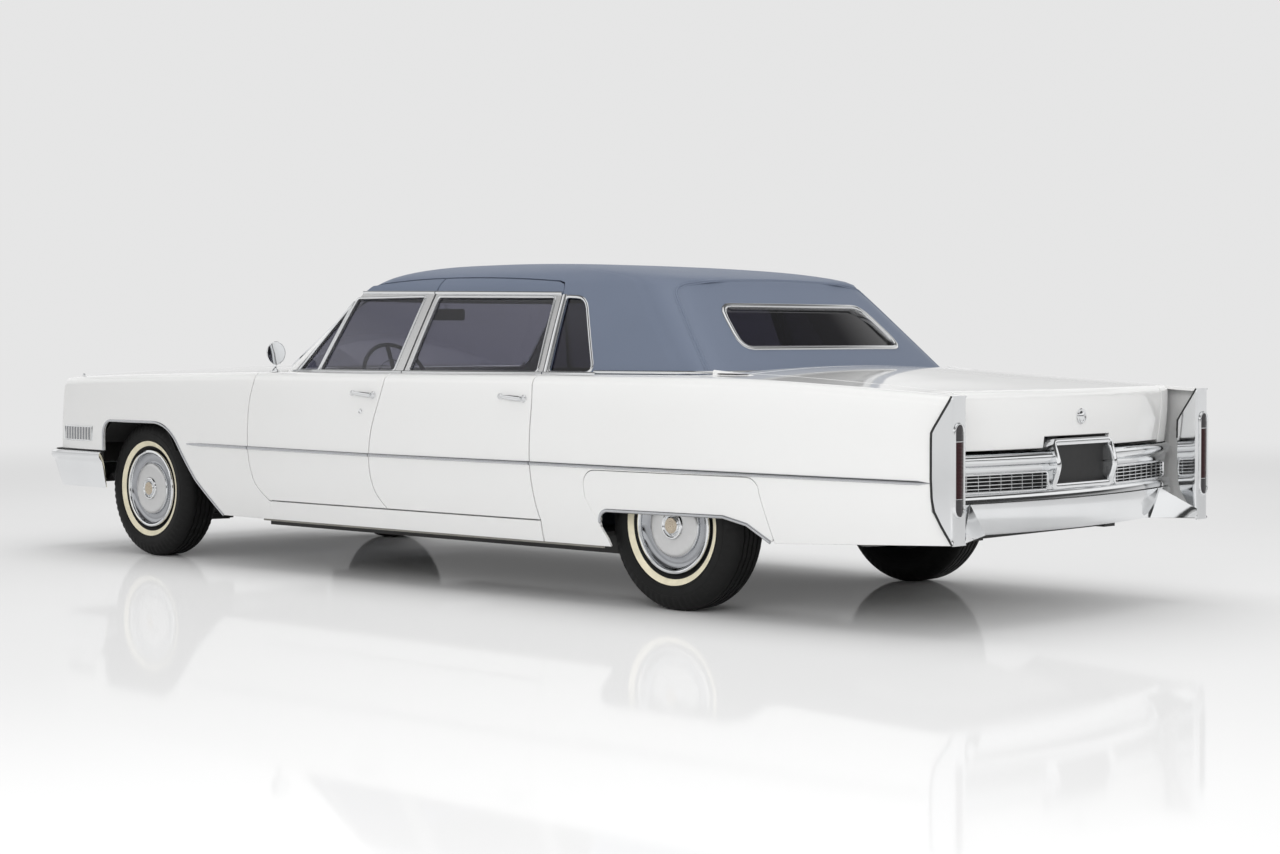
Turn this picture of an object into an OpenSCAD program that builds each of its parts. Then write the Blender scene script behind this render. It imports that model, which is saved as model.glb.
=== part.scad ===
// Six-window limousine saloon of the mid nineteen-sixties, built body on frame.
// Frame: +X forward, +Y to the car's left, +Z up, origin on the floor below the middle of the car.

/* [Overall size] */
// Distance between the axle centres
wheelbase = 3804; // [3700:4:3900]
// From the front axle to the nose
front_overhang = 931; // [900:1:960]
// From the rear axle to the tail
rear_overhang = 1475; // [1445:1:1505]
// Width over the body sides at their widest
body_w = 2030; // [2010:2:2050]
// Distance between the left and right tyre centres
track = 1588; // [1570:2:1600]

/* [Panels] */
// Gap between a moving panel and its neighbours
shut_gap = 9; // [8:0.5:11]
// Thickness of the wings and quarter panels
skin_t = 16; // [12:1:20]
// Thickness of a door below the belt
door_t = 80; // [70:1:85]
// Thickness of the bonnet and boot lid
lid_t = 24; // [18:1:30]
// Length of a front door at its widest
front_door_l = 948; // [920:2:980]
// Height of the bottom edge of the sills
sill_z = 258; // [245:1:270]
// Height of the bottom edge of the doors
door_z = 355; // [350:1:365]
// Height of the belt, where the side glass starts
belt_z = 985; // [980:1:990]
// Height of the side trim strip and the widest line of the body
wide_z = 600; // [580:1:620]
// Radius of the body's shoulder
shoulder_r = 42; // [30:1:50]
// Half width of the bonnet
bonnet_half = 760; // [740:1:780]
// Half width of the boot lid
boot_half = 745; // [730:1:760]
// Thickness of the window panes
glass_t = 6; // [4:0.5:8]

/* [Wheels] */
// Outer radius of a tyre
tyre_r = 360; // [350:1:364]
// Width of a tyre
tyre_w = 214; // [200:1:220]
// Radius of the wheel cover
cover_r = 208; // [204:1:212]
// Radius of the stub axles that the wheels turn on
stub_r = 25; // [20:1:30]
// Running clearance between stub axle and hub
hub_clear = 0.05; // [0.02:0.01:0.1]

/* [Number plate] */
// Sideways spacing of the number plate bolts
plate_bolt_w = 178; // [150:1:190]
// Upright spacing of the number plate bolts
plate_bolt_h = 120; // [100:1:125]
// Radius of the number plate bolt holes
plate_hole_r = 3.5; // [3:0.1:5]

/* [Hidden] */
$fn = 48;

PAINT = "white";
VINYL = "lightslategray";
CHROME = "silver";
GLASS = "dimgray";
RUBBER = "black";
STEEL = "gray";
TRIM = "lightsteelblue";

// Stations along the car
nose_x = (wheelbase + front_overhang + rear_overhang) / 2;
tail_x = -nose_x;
front_axle_x = nose_x - front_overhang;
rear_axle_x = tail_x + rear_overhang;
half_w = body_w / 2;
wing_front_x = nose_x - 175;
front_door_x = front_axle_x - 1029;
centre_door_x = front_door_x - front_door_l;
rear_door_x = rear_axle_x + 738;
bonnet_rear_x = front_axle_x - 774;
boot_front_x = rear_axle_x - 315;
tail_face_x = tail_x + 47;
pod_front_x = tail_x + 104;

// Half widths across the car
cabin_half = half_w - 126;
floor_half = half_w - 125;
post_y = half_w - 225;
seat_half = half_w - 295;
boot_floor_half = boot_half - 105;
pod_y = half_w - 174;
lens_y = half_w - 126;
lamp_y = half_w - 209;
deck_split_y = boot_half - 4;
cut_out_y = half_w + 100;
cut_in_y = half_w - 415;

// Clearances of pieces that seat on each other, of lids on their stops and of faceted skins
seat_gap = 0.3;
bonnet_stop_gap = 1.75;
boot_stop_gap = 0.6;
skin_gap = 0.8;

function lerp(a, b, t) = a + (b - a) * t;

// Smooth lookup in a table whose first column rises: seg finds the row, slope its tangent, at the value.
function seg(t, x, i = 0) = (i >= len(t) - 2 || x < t[i + 1][0]) ? i : seg(t, x, i + 1);
function slope(t, i, c) =
    let (a = max(i - 1, 0), b = min(i + 1, len(t) - 1)) (t[b][c] - t[a][c]) / (t[b][0] - t[a][0]);
function at(t, x, c) =
    let (
        v = min(max(x, t[0][0]), t[len(t) - 1][0]), i = seg(t, v),
        h = t[i + 1][0] - t[i][0], u = (v - t[i][0]) / h,
        m0 = slope(t, i, c) * h, m1 = slope(t, i + 1, c) * h)
    t[i][c] * (1 + 2 * u) * pow(1 - u, 2) + m0 * u * pow(1 - u, 2)
    + t[i + 1][c] * u * u * (3 - 2 * u) - m1 * u * u * (1 - u);

// Body stations. Columns: x, half width, shoulder height, crown of the deck or bonnet
BODY = [
    [tail_x, half_w - 92, 921, 4],
    [rear_axle_x - 950, half_w - 58, 953, 24],
    [rear_axle_x - 380, half_w - 32, 979, 40],
    [rear_axle_x + 430, half_w - 9, 985, 40],
    [(front_axle_x + rear_axle_x) / 2, half_w, 986, 36],
    [front_axle_x - 1100, half_w - 3, 987, 32],
    [front_axle_x - 400, half_w - 13, 977, 30],
    [front_axle_x + 250, half_w - 31, 965, 28],
    [front_axle_x + 620, half_w - 54, 955, 26],
    [nose_x - 140, half_w - 76, 943, 22]];
upper_tuck = 0.00022;
lower_tuck = 0.00038;
function half_at(x) = at(BODY, x, 1);
function side_y(x, z) =
    half_at(x) - upper_tuck * pow(max(0, z - wide_z), 2) - lower_tuck * pow(max(0, wide_z - z), 2);
function shoulder_z(x) = at(BODY, x, 2);
function deck_edge_y(x) = side_y(x, shoulder_z(x) - shoulder_r) - shoulder_r;
function deck_z(x, y) = shoulder_z(x) + at(BODY, x, 3) * (1 - pow(min(abs(y) / deck_edge_y(x), 1), 2));

// One section of a body side: up the side from z_lo, round the shoulder and in across the top to y_in
function section(x, z_lo, y_in, inset) =
    let (sh = shoulder_z(x), zs = sh - shoulder_r, ys = side_y(x, zs) - inset, r = shoulder_r)
    concat(
        [for (k = [0 : 6]) let (z = lerp(z_lo, zs, k / 6)) [x, side_y(x, z) - inset, z]],
        [for (a = [30, 60, 90]) [x, ys - r + r * cos(a), zs + (r - inset) * sin(a)]],
        [for (k = [1 : 2]) let (y = lerp(ys - r, y_in, k / 2)) [x, y, deck_z(x, y) - inset]]);

// Closed skin between two grids of points: n rows of m points outside, and as many inside
module skin(outer, inner) {
    n = len(outer);
    m = len(outer[0]);
    points = concat([for (row = outer) each row], [for (row = inner) each row]);
    function o(i, j) = i * m + j;
    function q(i, j) = n * m + i * m + j;
    faces = concat(
        [for (i = [0 : n - 2], j = [0 : m - 2]) each
            [[o(i, j), o(i + 1, j), o(i + 1, j + 1)], [o(i, j), o(i + 1, j + 1), o(i, j + 1)],
             [q(i, j), q(i + 1, j + 1), q(i + 1, j)], [q(i, j), q(i, j + 1), q(i + 1, j + 1)]]],
        [for (i = [0 : n - 2]) each
            [[o(i, 0), q(i + 1, 0), o(i + 1, 0)], [o(i, 0), q(i, 0), q(i + 1, 0)],
             [o(i, m - 1), o(i + 1, m - 1), q(i + 1, m - 1)], [o(i, m - 1), q(i + 1, m - 1), q(i, m - 1)]]],
        [for (j = [0 : m - 2]) each
            [[o(0, j), o(0, j + 1), q(0, j + 1)], [o(0, j), q(0, j + 1), q(0, j)],
             [o(n - 1, j), q(n - 1, j + 1), o(n - 1, j + 1)], [o(n - 1, j), q(n - 1, j), q(n - 1, j + 1)]]]);
    polyhedron(points, faces);
}

// Skin of the left body side from x0 to x1, cut later by its panel outline
module side_skin(x0, x1, z_lo, y_in, t, n = 10) {
    xs = [for (i = [0 : n]) lerp(x0, x1, i / n)];
    skin([for (x = xs) section(x, z_lo, y_in, 0)], [for (x = xs) section(x, z_lo, y_in, t)]);
}

// Prism along Y through a side-view outline
module side_prism(outline, y0, y1) {
    translate([0, y1, 0])
        rotate([90, 0, 0])
            linear_extrude(y1 - y0)
                polygon(outline);
}

// Prism for the door shuts on the left: slanted, so that a door's inner edges come clear as it swings out
shut_slant = 12;
module shut_prism(outline) {
    translate([0, half_w, 0])
        rotate([0, 0, shut_slant])
            side_prism([for (p = outline) [p[0] * cos(shut_slant), p[1]]], -700, 500);
}

// The same piece on the left or the right
module on_side(side) {
    if (side > 0)
        children();
    else
        mirror([0, 1, 0])
            children();
}

// Shut lines of the doors as seen from the side. Columns: z, front line, centre line, rear line
SHUT = [
    [350, -152, -110, -46],
    [420, -60, -40, -26],
    [500, -22, -8, -12],
    [600, -4, 0, 0],
    [720, 0, -14, 2],
    [860, -6, -58, 0],
    [985, -42, -95, 10]];
SHUT_BASE = [0, front_door_x, centre_door_x, rear_door_x];
function shut_x(line, z) = SHUT_BASE[line] + at(SHUT, z, line);
function shut_line(line, z0, z1, dx, n = 9) =
    [for (k = [0 : n]) let (z = lerp(z0, z1, k / n)) [shut_x(line, z) + dx, z]];

// Glasshouse levels.
// Columns: z, front, rear, half width, front bow, rear bow, front corner, rear corner
HOUSE = [
    [975, front_axle_x - 890, rear_axle_x - 256, cabin_half, 232, 60, 60, 150],
    [1175, front_axle_x - 1172, rear_axle_x - 48, cabin_half - 83, 180, 55, 60, 150],
    [1365, front_axle_x - 1439, rear_axle_x + 150, cabin_half - 167, 130, 50, 70, 150],
    [1405, front_axle_x - 1484, rear_axle_x + 194, cabin_half - 189, 125, 50, 90, 160],
    [1445, front_axle_x - 1534, rear_axle_x + 410, cabin_half - 239, 120, 60, 150, 200],
    [1475, front_axle_x - 1604, rear_axle_x + 730, cabin_half * 0.624, 110, 60, 180, 200],
    [1495, front_axle_x - 1694, rear_axle_x + 1070, cabin_half * 0.484, 90, 60, 180, 180],
    [1507, front_axle_x - 1794, rear_axle_x + 1480, cabin_half * 0.304, 60, 40, 120, 120],
    [1512, front_axle_x - 1874, rear_axle_x + 1690, cabin_half * 0.135, 30, 20, 60, 60]];
house_mid_x = (front_axle_x + rear_axle_x) / 2 - 472;
house_bow = 25;
function house_y(x, z) = at(HOUSE, z, 3) - house_bow * pow((x - house_mid_x) / 1300, 2);
function bend(a, b, c, t) = a * pow(1 - t, 2) + b * 2 * t * (1 - t) + c * t * t;

// Left half of one level of the glasshouse, from the middle of the front to the middle of the rear
function half_ring(r, inset, drop) =
    let (
        xf = r[1] - inset * 1.4, xr = r[2] + inset * 1.4, hw = r[3] - inset, z = r[0] - drop,
        fx = xf - r[4], rx = xr + r[5],
        fy = hw - house_bow * pow((fx - house_mid_x) / 1300, 2),
        ry = hw - house_bow * pow((rx - house_mid_x) / 1300, 2),
        fyc = fy - r[6], ryc = ry - r[7])
    concat(
        [for (k = [0 : 3]) let (y = fyc * k / 4) [xf - r[4] * pow(y / fy, 2), y, z]],
        [for (k = [0 : 3])
            let (p = bend([xf - r[4] * pow(fyc / fy, 2), fyc], [fx, fy], [fx - r[6], fy], k / 4))
            [p[0], p[1], z]],
        [for (k = [0 : 7]) let (x = lerp(fx - r[6], rx + r[7], k / 8))
            [x, hw - house_bow * pow((x - house_mid_x) / 1300, 2), z]],
        [for (k = [0 : 3])
            let (p = bend([rx + r[7], ry], [rx, ry], [xr + r[5] * pow(ryc / ry, 2), ryc], k / 4))
            [p[0], p[1], z]],
        [for (k = [0 : 4]) let (y = ryc * (4 - k) / 4) [xr + r[5] * pow(y / ry, 2), y, z]]);
function whole_ring(r, inset, drop) =
    let (h = half_ring(r, inset, drop), n = len(h))
    concat(h, [for (k = [n - 2 : -1 : 1]) [h[k][0], -h[k][1], h[k][2]]]);

// Solid stacked from the levels of the glasshouse
module house(inset, drop) {
    rings = [for (r = HOUSE) whole_ring(r, inset, drop)];
    n = len(rings);
    m = len(rings[0]);
    points = [for (r = rings) each r];
    faces = concat(
        [for (i = [0 : n - 2], j = [0 : m - 1]) let (k = (j + 1) % m) each
            [[i * m + j, (i + 1) * m + j, (i + 1) * m + k], [i * m + j, (i + 1) * m + k, i * m + k]]],
        [for (j = [1 : m - 2]) [0, j, j + 1]],
        [for (j = [1 : m - 2]) [(n - 1) * m, (n - 1) * m + j + 1, (n - 1) * m + j]]);
    polyhedron(points, faces);
}

// Outline moved back by the slant of the shuts, so that it is true where it meets the glasshouse
function on_house(outline) =
    [for (p = outline) [p[0] - p[2] * (half_w - house_y(p[0], p[1])) * tan(shut_slant), p[1]]];

// Slab on the left side of the glasshouse, inset from its face, as thick as dy sideways and dz up
module house_slab(x0, x1, levels, inset, dy, dz, n = 6) {
    xs = [for (i = [0 : n]) lerp(x0, x1, i / n)];
    skin(
        [for (x = xs) [for (z = levels) [x, house_y(x, z) - inset, z]]],
        [for (x = xs) [for (z = levels) [x, house_y(x, z) - inset - dy, z - dz]]]);
}

// Side-view outlines above the belt
a_low_x = front_axle_x - 1224;
a_top_x = front_axle_x - 1589;
b_low_x = centre_door_x - 95;
b_top_x = centre_door_x - 166;
c_low_x = rear_door_x + 47;
c_top_x = rear_door_x + 74;
function cut_z(x) = 1437 - (x > b_top_x ? 0.00009 : 0.000048) * pow(x - b_top_x, 2);
// Columns of the outlines: x, z, and 1 where the edge is true on the glasshouse,
// or 0 where it follows the door below
function upper_front(g) = let (b = shut_gap * 0.8) concat(
    [[a_low_x - g, 945, 1], [a_low_x - g, belt_z, 1], [a_top_x - g * 1.4, 1390, 1]],
    [for (k = [0 : 3]) let (x = lerp(a_top_x - 45, b_top_x + b, k / 3)) [x, cut_z(x) - g, 1]],
    [[b_low_x + b, belt_z + 17, 1], [b_low_x + b, belt_z + 13, 0], [b_low_x + b, 945, 0]]);
function upper_rear(g) = let (b = shut_gap * 0.8) concat(
    [[b_low_x - b, 945, 0], [b_low_x - b, belt_z - 4, 0], [b_low_x - b, belt_z, 1]],
    [for (k = [0 : 3]) let (x = lerp(b_top_x - b, c_top_x + 40, k / 3)) [x, cut_z(x) - g, 1]],
    [[c_top_x + g, 1370 - g / 2, 1], [c_low_x + g, belt_z, 1], [c_low_x + g, 945, 1]]);
upper_both = concat(
    [[a_low_x, 900, 1], [a_low_x, belt_z, 1], [a_top_x, 1390, 1]],
    [for (k = [0 : 6]) let (x = lerp(a_top_x - 45, c_top_x + 40, k / 6)) [x, cut_z(x), 1]],
    [[c_top_x, 1370, 1], [c_low_x, belt_z, 1], [c_low_x, 900, 1]]);
pane_z = belt_z + 16;
VENT = [[a_low_x - 45, pane_z], [a_low_x - 302, 1326], [a_low_x - 192, pane_z]];
PANE_FRONT = [[a_low_x - 212, pane_z], [a_low_x - 328, 1345], [b_low_x + 10, 1345], [b_low_x + 70, pane_z]];
PANE_REAR = [[b_low_x - 42, pane_z], [b_low_x - 94, 1342], [c_top_x + 43, 1328], [c_low_x + 43, pane_z]];
PANE_QUARTER = [[c_low_x - 43, pane_z], [c_top_x - 46, 1316], [c_top_x - 157, 1310], [c_low_x - 293, pane_z]];
function middle(p) = [for (c = [0, 1]) [for (v = p) 1] * [for (v = p) v[c]] / len(p)];
function shrink(p, d) = let (c = middle(p)) [for (v = p) v + (c - v) / norm(c - v) * d];

// Body panels

// Front wheel arch: upright front edge, rounded top and a long sloping rear edge
arch_front_x = front_axle_x + 295;
ARCH_FRONT = concat(
    [[arch_front_x, 558]],
    [for (a = [0 : 18 : 90]) [arch_front_x - 70 + 70 * cos(a), 650 + 70 * sin(a)]],
    [for (a = [0 : 12 : 48]) [front_axle_x - 190 - 300 * sin(a), 420 + 300 * cos(a)]],
    [[front_axle_x - 569, 431], [front_axle_x - 764, 240]]);

// Foot of the windscreen: middle of its front edge, and its side edge 55 mm along in steps of k
screen_x = HOUSE[0][1];
function screen_y(k) = house_y(screen_x - 232, 975) * sqrt((232 - 55 * k) / 232) + 9;

module wing(side) {
    tail = shut_gap / 2;
    low_x = shut_x(1, 350) + tail;
    outline = concat(
        [[wing_front_x, 1100], [wing_front_x, 558]],
        ARCH_FRONT,
        [[low_x - 60, 240], [low_x - 60, 1100]]);
    shut = concat(
        [[low_x, 200]],
        shut_line(1, 350, belt_z, tail),
        [[shut_x(1, belt_z) + tail, 1100], [low_x - 150, 1100], [low_x - 150, 200]]);
    screen_foot = concat(
        [[low_x - 100, cut_in_y], [low_x - 100, screen_y(0)], [screen_x - 232, screen_y(0)]],
        [for (k = [0.25 : 0.25 : 1]) [screen_x - 232 + 55 * k, screen_y(k)]],
        [[screen_x - 177, cut_in_y]]);
    on_side(side)
        difference() {
            intersection() {
                side_skin(low_x - 40, wing_front_x + 10, sill_z, bonnet_half + shut_gap, skin_t, 18);
                side_prism(outline, cut_in_y, cut_out_y);
            }
            shut_prism(shut);
            linear_extrude(1100)
                polygon(screen_foot);
        }
}

module front_wing_left() {
    color(PAINT)
        wing(1);
}

module front_wing_right() {
    color(PAINT)
        wing(-1);
}

// Panel on the deck surface between two edges given as functions of y
module deck_skin(x_rear, x_front, rear_bow, front_bow, y_half, t, lip, nx = 8, ny = 10) {
    function row_x(u, y) = lerp(
        x_rear - rear_bow * pow(y / y_half, 2),
        x_front - front_bow * pow(y / y_half, 2), u);
    function top_z(u, x, y) = deck_z(x, y) - lip * pow(max(0, (u - 0.9) / 0.1), 2);
    us = concat([for (i = [0 : nx - 1]) 0.9 * i / (nx - 1)], lip > 0 ? [0.94, 0.97, 1] : [1]);
    ys = [for (j = [0 : ny]) lerp(-y_half, y_half, j / ny)];
    skin(
        [for (y = ys) [for (u = us) let (x = row_x(u, y)) [x, y, top_z(u, x, y)]]],
        [for (y = ys) [for (u = us) let (x = row_x(u, y)) [x, y, top_z(u, x, y) - t]]]);
}

module bonnet() {
    color(PAINT)
        deck_skin(bonnet_rear_x, nose_x - 80, 150, 55, bonnet_half, lid_t, 60);
}

// Top of the floor, and the hump in it over the propeller shaft, also cut from what stands across it
floor_z = 308;
tunnel_z = 290;
tunnel_r = 120;
module tunnel(r) {
    translate([rear_axle_x, 0, tunnel_z])
        rotate([0, 90, 0])
            cylinder(r = r, h = wheelbase);
}

// Scuttle: panel below the windscreen, bulkhead and the front door posts with their hinge leaves
module cowl() {
    leaf_y = half_at(front_door_x - 100) - door_t - 0.5;
    color(PAINT) {
        deck_skin(screen_x + 10, bonnet_rear_x - shut_gap, 176, 152, bonnet_half, lid_t, 0, 3, 8);
        for (s = [-1, 1])
            on_side(s) {
                translate([front_door_x - 130, post_y, floor_z])
                    cube([90, 68, 667]);
                translate([front_door_x - 120, post_y + 60, 430])
                    cube([40, leaf_y - post_y - 60, 50]);
                translate([front_door_x - 60, post_y - 90, floor_z])
                    cube([20, 150, 640]);
            }
        difference() {
            translate([front_door_x - 60, -post_y + 80, floor_z])
                cube([20, 2 * post_y - 160, 640]);
            tunnel(tunnel_r + seat_gap);
        }
        translate([front_door_x - 60, -500, 930])
            cube([bonnet_rear_x - 95 - front_door_x + 60, 1000, 18]);
        translate([bonnet_rear_x - 112, -500, 930])
            cube([20, 1000, 66]);
    }
}

// Rear wheel skirt and the low opening below it
skirt_x = rear_axle_x;
SKIRT = concat(
    [[skirt_x + 288, 200], [skirt_x + 300, 290], [skirt_x + 408, 470]],
    [for (a = [0 : 22.5 : 90]) [skirt_x + 350 + 62 * cos(a), 523 + 62 * sin(a)]],
    [for (a = [90 : 22.5 : 180]) [skirt_x - 490 + 64 * cos(a), 521 + 64 * sin(a)]],
    [[skirt_x - 606, 345], [skirt_x - 612, 200]]);
SKIRT_OPEN = concat(
    [[skirt_x + 345, 200], [skirt_x + 333, 365]],
    [for (a = [0 : 30 : 90]) [skirt_x + 280 + 50 * cos(a), 365 + 50 * sin(a)]],
    [[skirt_x - 360, 418], [skirt_x - 480, 392], [skirt_x - 591, 326], [skirt_x - 593, 200]]);

module quarter(side) {
    head = -shut_gap / 2;
    low_x = shut_x(3, 350) + head;
    shut = concat(
        shut_line(3, 350, belt_z, head),
        [[shut_x(3, belt_z) + head, 1100], [low_x + 160, 1100], [low_x + 160, 200], [low_x, 200]]);
    outline = concat(
        [[low_x + 90, 1100], [low_x + 90, 200], [rear_axle_x + 200, 200], [rear_axle_x - 612, 322]],
        [[tail_x + 19, 358], [pod_front_x + 4, 486], [pod_front_x + 4, 782]],
        [[tail_x + 17, 922], [tail_x + 17, 1100]]);
    ring = [for (p = half_ring(HOUSE[0], -skin_gap, 0)) if (p[1] > deck_split_y) [p[0], p[1]]];
    inner_y = deck_split_y + seat_gap;
    lid_x = boot_front_x + shut_gap;
    roof_foot = concat(
        [[screen_x, cut_in_y], [screen_x, ring[0][1]]],
        [for (p = ring) if (p[0] < front_door_x) p],
        [[ring[len(ring) - 1][0] - 12, inner_y], [lid_x, inner_y], [lid_x, boot_half + shut_gap]],
        [[tail_x - 50, boot_half + shut_gap], [tail_x - 50, cut_in_y]]);
    on_side(side)
        difference() {
            intersection() {
                side_skin(tail_x + 5, low_x + 85, sill_z, boot_half - 9, skin_t, 20);
                side_prism(outline, cut_in_y, cut_out_y);
            }
            shut_prism(shut);
            side_prism(SKIRT, cut_in_y, cut_out_y);
            linear_extrude(1100)
                polygon(roof_foot);
        }
}

module quarter_left() {
    color(PAINT)
        quarter(1);
}

module quarter_right() {
    color(PAINT)
        quarter(-1);
}

module wheel_skirts() {
    color(PAINT)
        for (s = [-1, 1])
            on_side(s)
                difference() {
                    intersection() {
                        side_skin(rear_axle_x - 640, rear_axle_x + 440, sill_z + 30, half_w - 115, skin_t, 8);
                        side_prism(shrink(SKIRT, 1), half_w - 115, cut_out_y);
                    }
                    side_prism(SKIRT_OPEN, cut_in_y, cut_out_y);
                }
}

module sills() {
    front = shut_x(1, 350) + shut_gap / 2 - 0.5;
    slant_x = (half_w - side_y(rear_door_x, sill_z) + skin_t) * tan(shut_slant);
    rear = shut_x(3, 350) - shut_gap / 2 + slant_x + seat_gap;
    xs = [for (i = [0 : 8]) lerp(rear, front, i / 8)];
    zs = [for (k = [0 : 3]) lerp(sill_z, door_z - shut_gap, k / 3)];
    color(PAINT)
        for (s = [-1, 1])
            on_side(s)
                skin(
                    [for (x = xs) [for (z = zs) [x, side_y(x, z), z]]],
                    [for (x = xs) [for (z = zs) [x, floor_half + seat_gap, z]]]);
}

// Narrow deck between the rear window and the boot lid
module rear_deck() {
    color(PAINT)
        deck_skin(boot_front_x + shut_gap, HOUSE[0][2] - 8, 0, -45, deck_split_y - seat_gap, 20, 0, 3, 8);
}

function tail_face(y) = tail_face_x + 105 * pow(y / pod_y, 2);
boot_low_z = 700;
module boot_lid() {
    ys = [for (j = [0 : 10]) lerp(boot_half, -boot_half, j / 10)];
    us = [for (i = [0 : 7]) i / 7];
    function top(y, t) = [for (u = us)
        let (x = lerp(boot_front_x, tail_face(y) + 16, u)) [x, y, deck_z(x, y) - t]];
    function face(y, t) = [for (d = [0, 1, 2, 3])
        let (x = tail_face(y))
            [x + [2, 0, 0, 14][d] + t, y,
             lerp(deck_z(x, y) - 18, boot_low_z, d / 3) - (d == 0 ? t * 0.6 : 0)]];
    color(PAINT)
        difference() {
            skin(
                [for (y = ys) concat(top(y, 0), face(y, 0))],
                [for (y = ys) concat(top(y, lid_t), face(y, lid_t))]);
            translate([tail_x - 50, -236, boot_low_z - 20])
                cube([200, 472, 64]);
        }
}

// Panel below and beside the boot lid, with the stops that the lid rests on
tail_panel_x = tail_x + 190;
bar_top_z = 690;
module tail_panel() {
    stop_y = boot_half - 245;
    side_w = pod_y - boot_half - shut_gap - 4;
    color(PAINT) {
        translate([tail_panel_x, -pod_y + 45, 385])
            cube([20, 2 * pod_y - 90, 290]);
        for (s = [-1, 1])
            on_side(s) {
                translate([tail_panel_x, boot_half + shut_gap, 650])
                    cube([20, side_w, 245]);
                translate([tail_panel_x - 58, boot_half + shut_gap, bar_top_z + seat_gap])
                    cube([60, side_w, 895 - bar_top_z]);
                translate([tail_panel_x, stop_y, 670])
                    cube([20, 60, deck_z(tail_panel_x, stop_y + 60) - lid_t - boot_stop_gap - 670]);
            }
    }
}

module door(line0, line1, low_n) {
    top_y = half_w - 123;
    x0 = shut_x(line0, 600) - shut_gap / 2;
    x1 = shut_x(line1, 600) + shut_gap / 2;
    far = min(x1, shut_x(line1, 350), shut_x(line1, belt_z)) - 20;
    outline = concat(
        shut_line(line0, door_z, belt_z, -shut_gap / 2),
        [[shut_x(line0, belt_z) - shut_gap / 2, 1100], [shut_x(line1, belt_z) + shut_gap / 2, 1100]],
        [for (k = [9 : -1 : 0]) shut_line(line1, door_z, belt_z, shut_gap / 2)[k]]);
    xs = [for (i = [0 : low_n]) lerp(far, x0 + 20, i / low_n)];
    intersection() {
        skin(
            [for (x = xs) section(x, door_z, top_y, 0)],
            [for (x = xs)
                let (m = section(x, door_z, top_y, 0), last = len(m) - 1)
                    [for (k = [0 : last])
                        [x, lerp(half_at(x) - door_t, top_y - 54, pow(k / last, 3)),
                         m[k][2] - (k == last ? 0 : 1)]]]);
        shut_prism(outline);
    }
}

// Room for the foot of a windscreen or roof post in the top of a door, from x0 to x1
module post_foot(x0, x1) {
    translate([x0, post_y, belt_z - 25])
        cube([x1 - x0, house_y((x0 + x1) / 2, belt_z) + shut_gap - post_y, 100]);
}

UPPER_LEVELS = [945, 985, 1110, 1240, 1365, 1390, 1410, 1430, 1445];
module door_upper(outline, panes) {
    xs = [for (p = outline) p[0]];
    difference() {
        intersection() {
            house_slab(min(xs) - 10, max(xs) + 10, UPPER_LEVELS, 0, 26, 16, 5);
            shut_prism(on_house(outline));
        }
        for (p = panes)
            side_prism(p, cut_in_y, cut_out_y);
    }
}

module handle(x, z) {
    y = side_y(x, z);
    translate([x - 70, y - 4, z - 9])
        cube([140, 17, 18]);
}

module door_front(side) {
    on_side(side) {
        difference() {
            door(1, 2, 8);
            post_foot(a_low_x - 2 * shut_gap, front_door_x);
        }
        door_upper(upper_front(shut_gap), [VENT, PANE_FRONT]);
        handle(centre_door_x + 80, 888);
    }
}

module door_rear(side) {
    on_side(side) {
        difference() {
            door(2, 3, 8);
            post_foot(rear_door_x - 60, c_low_x + 2 * shut_gap);
        }
        door_upper(upper_rear(shut_gap), [PANE_REAR]);
        handle(rear_door_x + 146, 884);
    }
}

module door_front_left() {
    color(PAINT)
        door_front(1);
}

module door_front_right() {
    color(PAINT)
        door_front(-1);
}

module door_rear_left() {
    color(PAINT)
        door_rear(1);
}

module door_rear_right() {
    color(PAINT)
        door_rear(-1);
}

// Panes of the side windows
module pane(outline) {
    xs = [for (p = outline) p[0]];
    intersection() {
        house_slab(min(xs) - 10, max(xs) + 10, [pane_z - 10, 1110, 1230, 1360], 11, glass_t, 0, 4);
        side_prism(shrink(outline, 0.5), cut_in_y, cut_out_y);
    }
}

module glass_front_left() {
    color(GLASS)
        for (p = [VENT, PANE_FRONT])
            pane(p);
}

module glass_front_right() {
    color(GLASS)
        on_side(-1)
            for (p = [VENT, PANE_FRONT])
                pane(p);
}

module glass_rear_left() {
    color(GLASS)
        pane(PANE_REAR);
}

module glass_rear_right() {
    color(GLASS)
        on_side(-1)
            pane(PANE_REAR);
}

module quarter_glass() {
    color(GLASS)
        for (s = [-1, 1])
            on_side(s)
                pane(PANE_QUARTER);
}

// Windscreen and rear window openings seen along X.
// Columns: half width less that of the cabin, height, side
SCREEN = [for (p = [[-77, 1010, 1], [-224, 1350, 1], [-224, 1350, -1], [-77, 1010, -1]])
    [(cabin_half + p[0]) * p[2], p[1]]];
BACK = [for (p = [[-341, 1103, 1], [-406, 1283, 1], [-406, 1283, -1], [-341, 1103, -1]])
    [(cabin_half + p[0]) * p[2], p[1]]];

module x_prism(outline, x0, x1) {
    translate([x0, 0, 0])
        rotate([90, 0, 90])
            linear_extrude(x1 - x0)
                polygon(outline);
}

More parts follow.
